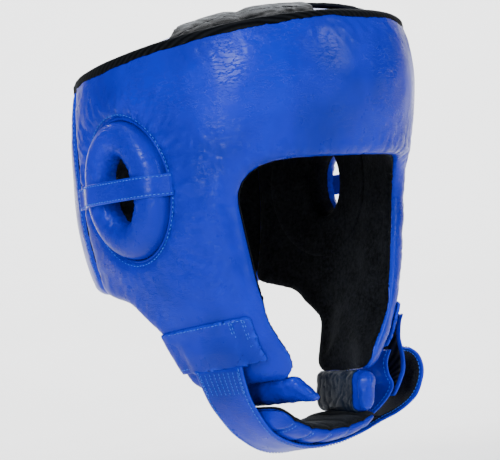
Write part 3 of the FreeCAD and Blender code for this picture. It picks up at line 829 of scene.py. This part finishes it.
def ear_collar():
    """The lining round an ear hole, laid over the seam between the ring and the shell."""
    rings, spokes = 12, 96
    turns = np.linspace(0, 2 * math.pi, spokes, endpoint=False)
    grows = np.linspace(0, 1, rings)[:, None]
    half_y, half_z = ((1 - grows) * (hole + 3.0) + grows * (seam + 6.0)
                      for hole, seam in zip(EAR_HOLE, EAR_SEAM))
    y, z = EAR_Y + half_y * np.cos(turns), EAR_Z + half_z * np.sin(turns)
    sheet, _ = cast(lambda q: -head(q, PADDING), (-62, y.ravel(), z.ravel()), (-1, 0, 0))
    faces = np.array([f[::-1] for f in grid_faces(rings, spokes)])
    inward = np.tile((1.0, 0, 0), (len(sheet), 1))
    return thick(sheet, faces, 0.1, 1.9, inward)


def make_ear_welts(joined):
    """A piped seam round each ring, with stitches just outside it."""
    welt_out, welt_radius, stitches_out = 1.2, 1.05, 3.9
    turn = np.linspace(0, 2 * math.pi, 150, endpoint=False)
    welt, seam = (cast(joined, (-126, EAR_Y + (EAR_SEAM[0] + grow) * np.cos(turn),
                                EAR_Z + (EAR_SEAM[1] + grow) * np.sin(turn)), (1, 0, 0))
                  for grow in (welt_out, stitches_out))
    for name, factor in both_sides("ear_welt"):
        flip = np.array((factor, 1, 1))
        tube, tube_faces = loop_mesh((welt[0] + welt[1] * 0.1) * flip, welt_radius)
        tube_faces = tube_faces if factor == 1 else [f[::-1] for f in tube_faces]
        add_mesh(name, tube, tube_faces, "headgear", BLUE)
        sew_line("headgear", *seam, 3.0, factor, 2.1, 0.42)


def make_ear_straps():
    """A leather strap across each ring, stitched along both edges."""
    path = [(-101.5, -36), (-107, -30.5), (-112.5, -25.5), (-115.8, -19), (-117.2, -8), (-117.6, 6),
            (-117, 20), (-115, 31), (-110.5, 38.5), (-105, 44), (-100.8, 51), (-98.5, 58.5)]
    half, fall = 7.2, 0.012
    for name, factor in both_sides("ear_strap"):
        low, high = ([(x * factor, y, EAR_Z + rise - fall * (y + 30)) for x, y in path]
                     for rise in (-half, half))
        edges = (high, low) if factor == 1 else (low, high)
        verts, faces = strap_mesh(*edges, -0.2, 1.9, 80, 14, 0.25, 41.0)
        add_mesh(name, verts, faces, "headgear", BLUE, (name,))
        for share in (-0.8, 0.8):
            sew("headgear", *edges, share, 1.95, 2.8, 1.9, 0.38)


# ---------------------------------------------------------------- the two back panels
def back_field(p):
    """The wearer's left half of the back."""
    outline = np.maximum(BACK(p[:, 1], p[:, 2]), BACK_GAP - p[:, 0])
    body = meet(8.0, head(p), -head(p, padding(p)), outline)
    return meet(SEAM_ROUND, body, rim(p))


PANEL_EDGE = WING_EDGE + 0.9
BACK = Outline(rounded_path([(PANEL_EDGE, 130), (PANEL_EDGE, BACK_HEM), (FAR, BACK_HEM), (FAR, 130)],
                            [0, 9, 0, 0]))


def back_depth(p):
    """Creases by the hem and soft lumps."""
    x, y, z = p.T
    arc = np.arctan2(x, y) * 105
    hem = wrinkles(arc / 9, z / 24, 51.0) * near(z, BACK_HEM + 8, 13)
    sides = wrinkles(z / 10, arc / 26, 55.0) * near(y, WING_EDGE + 6, 9)
    return 0.5 * hem + 0.4 * sides - 0.7 * lumps(p, 36, 8.0)


def make_back():
    """The two back panels, their linings and the stitches beside the wings."""
    verts, faces = panel(back_field, (8, 58, -72), (116, 130, 108), back_depth)
    outline = np.maximum.reduce([BACK(verts[:, 1], verts[:, 2]), BACK_GAP - verts[:, 0], rim(verts) + 4])
    sheet, polygons = lining_patch(verts, faces, lambda p: outline)
    for side, factor in (("left", 1), ("right", -1)):
        body = "back_panel_" + side
        add_mesh("back_pad_" + side, *mirrored(verts, faces, factor), body, BLUE,
                 ("back_" + side + "_cover", "back_" + side + "_foam"), fill=0.85)
        add_mesh("back_suede_" + side, *mirrored(sheet, polygons, factor), body, LINING,
                 ("back_" + side + "_lining",))
        height = np.linspace(BACK_HEM + 10, RIM_HEIGHT - 14, 90)
        line, up = cast(back_field, (125, WING_EDGE + 5.5, height), (-1, 0, 0))
        sew_line(body, line, up, 3.2, factor)


def make_rear_strap():
    """The hook-and-loop strap across the gap in the back, its sewn root and its tapes."""
    low, high = REAR_STRAP

    def on_back(x, z, lift):
        return cast(lambda q: head(q) - lift, (x, 140, z), (0, -1, 0))

    # Name, from and to across the back, margin, lift off the panels, thickness, body, material.
    pieces = [("rear_loop", -52, -BACK_GAP - 4, 2, 0.5, 1.2, "back_panel_right", LOOP),
              ("rear_hook", -50, -BACK_GAP - 8, 4, 1.9, 1.1, "rear_strap", HOOK),
              ("rear_strap", -53, 43, 0, 3.2, 2.2, "rear_strap", BLUE),
              ("rear_strap_root", 46, 69, 0, 0.6, 4.4, "back_panel_left", BLUE)]
    for name, x_from, x_to, margin, lift, thickness, body, material in pieces:
        x = np.linspace(x_from, x_to, 14)
        top, bottom = (on_back(x, z, lift)[0] for z in (high - margin, low + margin))
        add_mesh(name, *strap_mesh(top, bottom, 0, thickness, 60, 16, 0.2, 61.0), body, material, (name,))
        if material is BLUE:
            for share in (-0.9, 0.9):
                sew(body, top, bottom, share, thickness + 0.05, 3.1)
    for x, body, lift in ((-50, "rear_strap", 5.5), (-46, "rear_strap", 5.5), (50, "back_panel_left", 5.1),
                          (64, "back_panel_left", 5.1)):
        sew_line(body, *on_back(x, np.linspace(low + 4, high - 4, 40), lift), 3.1)


# ---------------------------------------------------------------- rim binding
def rim_line(angles):
    """Middle of the wall at the rim for each angle, and the way out from it."""
    height = np.full(len(angles), float(RIM_HEIGHT))
    y = np.zeros(len(angles))
    for _ in range(4):
        sine, cosine = np.sin(angles), np.cos(angles)
        inset = padding(np.stack([height * 0, y, height], axis=1)) / 2
        wide = station(height, 1) - inset
        long = np.where(cosine > 0, station(height, 2), station(height, 3)) - inset
        power = 2 / ROUNDNESS
        x = wide * np.sign(sine) * np.abs(sine) ** power
        y = -long * np.sign(cosine) * np.abs(cosine) ** power
        height = RIM_HEIGHT - RIM_SLOPE * y
    middle = np.stack([x, y, height], axis=1)
    out = unit(np.stack([-np.gradient(y), np.gradient(x), np.zeros(len(x))], axis=1))
    return middle, out * np.sign((out * middle).sum(axis=1))[:, None]


def binding(name, body, start, end, count, seed):
    """Tape folded over the rim between two angles from the front, in degrees."""
    sides = 22
    cover, half_height, drop = 1.3, 4.9, 2.7
    middle, out = rim_line(np.radians(np.linspace(start, end, count)))
    verts = []
    for k in range(count):
        half = padding(middle[k:k + 1])[0] / 2 + cover
        end_scale = 0.72 if k in (0, count - 1) else 1.0
        for j in range(sides):
            turn = 2 * math.pi * j / sides
            c, s = math.cos(turn), math.sin(turn)
            u = squared(c, 0.62) * half * end_scale
            w = squared(s, 0.80) * half_height * end_scale - drop
            u += 0.35 * noise.noise((k * 0.12, j * 0.5, seed))
            u += 0.25 * (w > -1.0) * noise.noise((k * 0.5, 0, seed))
            verts.append(middle[k] + out[k] * u + np.array((0, 0, w)))
    add_mesh(name, np.array(verts), capped_faces(count, sides), body, BINDING, (name,))


def make_bindings():
    """The shell's binding from wing to wing, and one on each back panel."""
    steps = np.linspace(90, 180, 400)
    middle, _ = rim_line(np.radians(steps))
    wing = steps[np.argmax(middle[:, 1] > WING_EDGE - 0.2)]
    panel_start = steps[np.argmax(middle[:, 1] > WING_EDGE + 1.4)]
    panel_end = steps[np.argmax(middle[:, 0] < BACK_GAP + 0.6)]
    binding("rim_binding", "headgear", -wing, wing, 260, 71.0)
    binding("back_left_binding", "back_panel_left", panel_start, panel_end, 60, 75.0)
    binding("back_right_binding", "back_panel_right", -panel_end, -panel_start, 60, 79.0)


# ---------------------------------------------------------------- crown pad and its flaps
CROWN_AXES = np.array((92.5, 99.0, 27.5))
CROWN_CENTRE = np.array((0, -10.5, 81.4))
CROWN_TILT = -math.atan(RIM_SLOPE)
CROWN_PAD = 11


def crown_local(p):
    """A point in the crown's own tilted axes."""
    q = p - CROWN_CENTRE
    c, s = math.cos(CROWN_TILT), math.sin(CROWN_TILT)
    return np.stack([q[:, 0], q[:, 1] * c + q[:, 2] * s, q[:, 2] * c - q[:, 1] * s], axis=1)


def dome(q, axes):
    """Distance to an ellipsoid in the crown's axes."""
    u = q / axes
    g = np.maximum(np.linalg.norm(u, axis=1), 1e-6)
    return (g - 1) / np.maximum(np.linalg.norm(u / axes, axis=1) / g, 1e-6)


def crown_field(p):
    """Domed pad of four sewn quarters."""
    q = crown_local(p)
    seam = np.minimum(np.abs(q[:, 0] - q[:, 1]), np.abs(q[:, 0] + q[:, 1])) * 0.707
    sink = 1.7 * near(seam, 0, 5.0) * np.clip(q[:, 2] / 12, 0, 1)
    return meet(4.5, dome(q, CROWN_AXES) + sink, -dome(q, CROWN_AXES - CROWN_PAD), -q[:, 2])


def crown_depth(p):
    """Creases above the rim and soft lumps."""
    q = crown_local(p)
    turn = np.arctan2(q[:, 0], q[:, 1])
    rim_folds = wrinkles(turn * 10, q[:, 2] / 14, 91.0) * near(q[:, 2], 5, 8)
    return 0.4 * rim_folds - 0.6 * lumps(p, 30, 12.0)


FLAP_FROM, FLAP_TO = 80, 36
FLAP_BEND = (79, 58)              # the root that bends when a flap is peeled


def flap_axes(p):
    """Distance out along the front-right diagonal and across it, from the crown's middle."""
    root = math.sqrt(0.5)
    x, y = p[:, 0], p[:, 1] - CROWN_CENTRE[1]
    return (-x - y) * root, (x - y) * root


def flap_point(reach, factor):
    """The point that lies reach mm out along the diagonal, on the side that factor mirrors to."""
    step = reach * math.sqrt(0.5)
    return (-step * factor, CROWN_CENTRE[1] - step, CROWN_CENTRE[2])


def make_crown():
    """The crown pad, its lining and its flaps."""
    verts, faces = surface(crown_field, (-97, -116, 64), (97, 96, 118), 2.0)
    smooth = verts.copy()
    verts = dent(verts, faces, crown_depth(verts))
    add_mesh("crown_pad", verts, faces, "headgear", BLUE, ("crown_cover", "crown_foam"), fill=0.8)
    q = crown_local(smooth)
    inner = np.maximum(dome(q, CROWN_AXES - CROWN_PAD + 1.2), 5 - q[:, 2])
    suede = thick(*clip(verts, faces, inner), 0.15, 1.5)
    add_mesh("crown_suede", *suede, "headgear", LINING, ("crown_lining",))
    make_flaps(smooth, faces)


def make_flaps(verts, faces):
    """Black flaps on the crown's front diagonals, with their tapes and sewn bases."""
    out, across = flap_axes(verts)
    top = -dome(crown_local(verts), CROWN_AXES - 2.6)

    def outline(start, end, wide, narrow, radius):
        corners = [(start, wide), (end, narrow), (end, -narrow), (start, -wide)]
        return Outline(rounded_path(corners, [1, radius, radius, 1]))(out, across)

    rows = [("crown_loop", outline(72, 38, 37, 25, 8), 0.15, 1.2, LOOP, "headgear"),
            ("crown_hook", outline(70, 40, 35, 23, 8), 1.3, 2.2, HOOK, "flap"),
            ("crown_flap", outline(FLAP_FROM, FLAP_TO, 47, 33, 12), 2.4, 4.8, BLACK, "flap"),
            ("crown_gusset", outline(106, 80.2, 50, 49, 3), 0.3, 4.7, BLACK, "headgear")]
    for base, value, low, high, material, owner in rows:
        patch, patch_faces = clip(verts, faces, np.maximum(value, top))
        normal = normals_of(patch, patch_faces)
        if material is BLACK:
            fold = lumps(patch, 16, 14.0) * 0.7 - 0.8 * wrinkles(patch[:, 0] / 9, patch[:, 1] / 17, 95.0)
            patch = patch + normal * np.maximum(fold, -1.2)[:, None] * 0.8
        sheet, polygons = thick(patch, patch_faces, low, high, normal)
        for name, factor in both_sides(base):
            side = name.split("_")[-1]
            body = "headgear" if owner == "headgear" else "crown_flap_" + side
            bend = [flap_point(reach, factor) for reach in FLAP_BEND] if owner == "flap" else None
            add_mesh(name, *mirrored(sheet, polygons, factor), body, material, (name,), bend=bend)


# ---------------------------------------------------------------- chin strap, cup and closure
STRAP_REAR, STRAP_FRONT = -14, -50
# The strap's rear and front edges, from the sewn end on the wearer's right to where the flap begins.
REAR_EDGE = [(x, STRAP_REAR, z) for x, z in (
    (-76.6, -121.8), (-72.5, -131), (-63, -148), (-46, -166), (-27, -177.5), (-8, -181.5), (14, -180.5),
    (38, -175), (61, -168))]
FRONT_EDGE = [(x, STRAP_FRONT, z) for x, z in (
    (-68.5, -121), (-66.5, -131), (-61, -146), (-48, -163.5), (-34, -172.5), (-13, -178), (12, -178.5),
    (38, -174.5), (61, -168.5))]
FLAP_LINE = [(62, -168.2), (78, -164.5), (93, -158.5), (103, -150), (107.5, -140), (105.5, -130.5),
             (98.5, -125), (90.5, -123.5)]
PLY_LINE = [(48, -166), (60, -160.5), (71, -153), (75.5, -146), (72, -138.5), (71.5, -130), (76.5, -122.5)]
TAB_LINE = [(76, -154), (82.5, -147), (88.5, -138), (89.5, -127), (87.5, -115), (89.5, -104.5), (92.5, -98.5)]


def edges_of(line):
    """Front and rear edges of a band whose middle line is given in (X, Z)."""
    return [[(x, y, z) for x, z in line] for y in (STRAP_FRONT, STRAP_REAR)]


def narrowed(edges, margin):
    """A band's front and rear edges, each moved in by a margin."""
    front, rear = edges
    return [(x, y + margin, z) for x, y, z in front], [(x, y - margin, z) for x, y, z in rear]


def make_chin_strap():
    """The strap, the flap that it ends in, the inner ply and the hook tab, with their tapes and stitches."""
    strap = (FRONT_EDGE, REAR_EDGE)
    flap, ply, tab = (edges_of(line) for line in (FLAP_LINE, PLY_LINE, TAB_LINE))
    # Name, edges, margin, low and high offset, rows, columns, ripple, seed, body, material.
    pieces = [("chin_strap", strap, 0, -2.3, 0, 110, 18, 0.35, 101.0, "chin_strap", BLUE),
              ("chin_strap_tape", strap, 2.6, 0.1, 1.2, 100, 12, 0.3, 101.0, "chin_strap", LOOP),
              ("chin_flap", flap, 0, -2.2, 0, 70, 16, 0.5, 105.0, "chin_flap", BLUE),
              ("chin_flap_tape", flap, 2.4, 0.1, 1.5, 66, 12, 0.5, 105.0, "chin_flap", LOOP),
              ("chin_ply", ply, 0, -1.0, 1.1, 60, 16, 0.8, 107.0, "chin_strap", BLUE),
              ("chin_tab", tab, 0, -1.1, 1.0, 60, 16, 0.5, 109.0, "chin_strap", BLUE),
              ("chin_tab_hook", tab, 2.4, 1.1, 2.3, 56, 12, 0.5, 109.0, "chin_strap", HOOK)]
    for name, edges, margin, low, high, rows, columns, ripple, seed, body, material in pieces:
        verts, faces = strap_mesh(*narrowed(edges, margin), low, high, rows, columns, ripple, seed)
        add_mesh(name, verts, faces, body, material, (name,))
    seams = [(strap, -2.35, "chin_strap"), (strap, 0.15, "chin_strap"), (flap, 0.5, "chin_flap"),
             (flap, -2.3, "chin_flap"), (tab, -1.2, "chin_strap"), (ply, 1.1, "chin_strap")]
    for edges, offset, body in seams:
        for share in (-0.86, 0.86):
            sew(body, *edges, share, offset, 3.0)
    ends = [smooth_curve(edge, 200)[3:24] for edge in strap]
    for share in np.linspace(-0.8, 0.8, 9):
        sew("chin_strap", *ends, share, -2.35, 2.3, 1.7, 0.34)


def make_strap_root():
    """The tab under the cheek band that the strap is sewn to."""
    verts, faces = strap_mesh([(-78.6, STRAP_REAR, -110), (-76.2, STRAP_REAR, -121)],
                              [(-70.8, STRAP_FRONT, -109), (-68.2, STRAP_FRONT, -120.2)], 0.2, 2.2, 12, 16)
    add_mesh("chin_strap_root", verts, faces, "headgear", BLUE, ("chin_strap_root",))


CUP_LINE = [(-57, -158), (-46, -168), (-31, -175.5), (-12, -180), (8, -180.5), (26, -178), (44, -173)]
CUP_THICK = 13.0
CUP_FRONT, CUP_BACK = STRAP_FRONT - 14, STRAP_REAR + 8


def make_chin_cup():
    """The padded cup in the strap: stuffed leather channels below, suede on top."""
    rows, sides = 120, 40
    line = smooth_curve([(x, 0, z) for x, z in CUP_LINE], rows)
    along = direction(line)
    up = np.stack([-along[:, 2], np.zeros(rows), along[:, 0]], axis=1)
    middle_y, half_y = (CUP_FRONT + CUP_BACK) / 2, (CUP_BACK - CUP_FRONT) / 2
    seams = np.array((0.0, 0.16, 0.34, 0.52, 0.70, 0.86, 1.0))
    length, seam_depth, seam_width = 103, 0.34, 2.2
    verts = []
    for k in range(rows):
        t = k / (rows - 1)
        gap = np.min(np.abs(t - seams)) * length
        puff = 1 - seam_depth * math.exp(-(gap / seam_width) ** 2)
        blunt = math.sqrt(max(0.06, 1 - (2 * t - 1) ** 10))
        for j in range(sides):
            turn = 2 * math.pi * j / sides
            c, s = math.cos(turn), math.sin(turn)
            y = squared(c, 0.62) * half_y * (0.80 + 0.20 * blunt) * (1 - 0.02 * (1 - puff))
            w = squared(s, 0.70) * CUP_THICK / 2 * blunt
            w *= puff if s < 0.35 else 0.5 + 0.5 * puff
            w += 0.35 * noise.noise((k * 0.12, j * 0.4, 121.0)) - 1.3 * math.cos(turn) ** 2 * (s > 0)
            dish = 3.5 * (y / half_y) ** 2
            lift = CUP_THICK / 2 + 1.8 + w + dish * 0.4
            verts.append(line[k] + up[k] * lift + np.array((0, middle_y + y, 0)))
    add_mesh("chin_cup", np.array(verts), capped_faces(rows, sides), "chin_strap", BLUE,
             ("chin_cup_cover", "chin_cup_foam"), fill=0.8)
    rings = np.array(verts).reshape(rows, sides, 3)
    top = rings[2:-2, 2:19]
    faces = np.array(grid_faces(top.shape[0], top.shape[1], False, False))
    add_mesh("chin_cup_suede", *thick(top.reshape(-1, 3), faces, 0.1, 1.5), "chin_strap", LINING,
             ("chin_cup_lining",))
    for mark in seams[1:-1]:
        for shift in (-1.6, 1.6):
            ring = rings[int(round(mark * (rows - 1) + shift))]
            lower = ring[sides // 2:]
            sew_line("chin_strap", lower, unit(lower - ring.mean(axis=0)), 2.6, length=1.8, radius=0.3)


# ---------------------------------------------------------------- jaw pads
def make_jaw_pad(side, factor, corners, radii, lean, patch_end, material):
    """A stuffed flap below a cheek, in an upright plane that leans in towards the bottom."""
    rear, front = np.array((50.0, -10.0)), np.array((29.0, -73.0))
    run = np.linalg.norm(front - rear)
    along = (front - rear) / run
    inward = np.array((along[1], -along[0]))
    top, depth = max(c[1] for c in corners), min(c[1] for c in corners)
    outline = Outline(rounded_path(corners, radii))
    half_thick, edge_round = 7.0, 6.4

    def flat(p):
        """Distance along the pad from its rear end, and inwards from its plane."""
        shift = p[:, :2] - rear
        return shift @ along, shift @ inward - (top - p[:, 2]) * lean

    def field(p):
        """The stuffed pad, with two sewn channels near its front on the wearer's left."""
        s, w = flat(p)
        seam = (1.6 * near(s, run - 10, 2.0) + 1.6 * near(s, run - 3, 2.0)) * (factor == 1)
        return meet(edge_round, outline(s, p[:, 2]), np.abs(w) - half_thick + seam)

    verts, faces = surface(field, (-4, -92, depth - 6), (76, 4, top + 6), 1.5)
    s, w = flat(verts)
    creases = 0.6 * wrinkles(s / 8, verts[:, 2] / 9, 131.0 + factor) - 0.6 * lumps(verts, 15, 9.0)
    verts = dent(verts, faces, creases)
    add_mesh("jaw_pad_" + side, *mirrored(verts, faces, factor), "jaw_pad_" + side, BLUE,
             ("jaw_pad_cover_" + side, "jaw_pad_foam_" + side), fill=0.8)
    # The inner face as a thin sheet: suede lining on the right pad; on the left pad the slate leather, which
    # is painted shade.
    value = np.maximum.reduce([outline(s, verts[:, 2]) + 0.8, s - patch_end, 3.0 - w])
    patch, patch_faces = clip(verts, faces, value)
    add_mesh("jaw_lining_and_painted_shade_" + side, *mirrored(*thick(patch, patch_faces, 0.1, 1.3), factor), "jaw_pad_" + side,
             material)


def finish_stitches():
    """One object of thread for each body that has stitches."""
    for body, (verts, faces) in STITCHES.items():
        add_mesh("stitches_" + body, np.concatenate(verts), faces, body, THREAD)


def either(*fields):
    """The space inside any of the fields."""
    return lambda p: np.minimum.reduce([f(p) for f in fields])


shell_verts, shell_faces = make_shell()
make_cheek_bands(shell_verts, shell_faces)
make_ears(either(shell_field, ring_field))
make_back()
make_rear_strap()
make_bindings()
make_crown()
make_chin_strap()
make_strap_root()
make_chin_cup()
make_jaw_pad("right", -1, [(-2, -133), (-2, -150), (70, -149), (56, -131)], [4, 6, 3, 9], 0.45, 30, LINING)
# The left pad's inner face gets the slate leather: painted shade, the blue leather darkened as if in shadow.
make_jaw_pad("left", 1, [(-2, -133), (-2, -160), (62, -162), (66, -133)], [4, 8, 9, 8], 0.08, 52, PAINTED_SHADE_SLATE)
finish_stitches()


# ---------------------------------------------------------------- camera, light and floor
def look(azimuth, elevation, roll, distance, target, lens):
    """The camera round a target in mm, with the picture turned by roll."""
    a, e, r = (math.radians(v) for v in (azimuth, elevation, roll))
    back = Vector((math.sin(a) * math.cos(e), -math.cos(a) * math.cos(e), math.sin(e)))
    right = Vector((math.cos(a), math.sin(a), 0))
    up = back.cross(right)
    side = right * math.cos(r) - up * math.sin(r)
    top = up * math.cos(r) + right * math.sin(r)
    data = bpy.data.cameras.new("camera")
    data.lens, data.sensor_width = lens, 36
    data.clip_end = 60
    camera = place_object("camera", data)
    turned = Matrix((side, top, back)).transposed().to_4x4()
    camera.matrix_world = Matrix.Translation((Vector(target) + back * distance) * MM) @ turned
    bpy.context.scene.camera = camera


def softbox(name, place, target, size, power, colour):
    """A rectangular soft light aimed at a point; place and target in metres."""
    data = bpy.data.lights.new(name, "AREA")
    data.shape, data.energy, data.color = "RECTANGLE", power, colour
    data.size, data.size_y = size
    light = place_object(name, data)
    light.location = place
    light.rotation_euler = (Vector(target) - Vector(place)).to_track_quat("-Z", "Y").to_euler()


def backdrop_mesh():
    """A floor that sweeps up into a wall behind the object, as one curved sheet."""
    reach, level, flat, bend, wall = 9.0, -0.34, 2.6, 2.2, 6.0
    profile = [(-reach, level), (flat, level)]
    for k in range(1, 25):
        turn = math.pi / 2 * k / 24
        profile.append((flat + bend * math.sin(turn), level + bend * (1 - math.cos(turn))))
    profile.append((flat + bend, wall))
    away, across = Vector((1, 1, 0)).normalized(), Vector((1, -1, 0)).normalized()
    verts = [away * d + across * side * reach + Vector((0, 0, z)) for d, z in profile for side in (-1, 1)]
    faces = [(2 * k, 2 * k + 1, 2 * k + 3, 2 * k + 2) for k in range(len(profile) - 1)]
    return verts, faces


def make_stage():
    """The camera, the lights, the dim surroundings and the pale floor."""
    cool = (0.72, 0.84, 1.0)
    white = (1, 1, 1)
    middle = (0, 0, 0)
    look(azimuth=-45, elevation=-1.9, roll=5.5, distance=1500, target=(0, 0, -31), lens=157.2)
    # Name, place and target in m, width and height in m, power in W, colour.
    boxes = [("key", (-1.55, -0.75, 0.65), middle, (0.26, 1.1), 28, cool),
             ("fill", (0.5, -1.8, 0.55), middle, (0.7, 0.9), 15, cool),
             ("top", (-0.2, 0.1, 1.6), middle, (1.0, 1.0), 6, cool),
             ("rear", (1.1, 1.0, 0.9), middle, (0.8, 1.2), 9, cool),
             ("wall", (1.9, 1.9, 2.6), (2.9, 2.9, 0.2), (4.2, 1.6), 380, white),
             ("above", (0.9, 0.9, 2.4), middle, (1.5, 1.0), 12, white)]
    for box in boxes:
        softbox(*box)
    world = bpy.data.worlds.new("studio")
    world.use_nodes = True
    shade = world.node_tree.nodes["Background"]
    shade.inputs["Color"].default_value = (0.9, 0.93, 1.0, 1)
    shade.inputs["Strength"].default_value = 0.05
    bpy.context.scene.world = world
    verts, faces = backdrop_mesh()
    mesh = bpy.data.meshes.new("floor")
    mesh.from_pydata(verts, [], faces)
    mesh.polygons.foreach_set("use_smooth", [True] * len(faces))
    floor = place_object("floor", mesh)
    s = Shading("floor_paper")
    tone = s.ramp(s.noise(3.0, 2.0), [(0.3, rgb(0.80, 0.80, 0.80)), (0.7, rgb(0.83, 0.83, 0.83))])
    mesh.materials.append(s.finish(Base_Color=tone, Roughness=0.95))


make_stage()
bpy.context.view_layer.update()
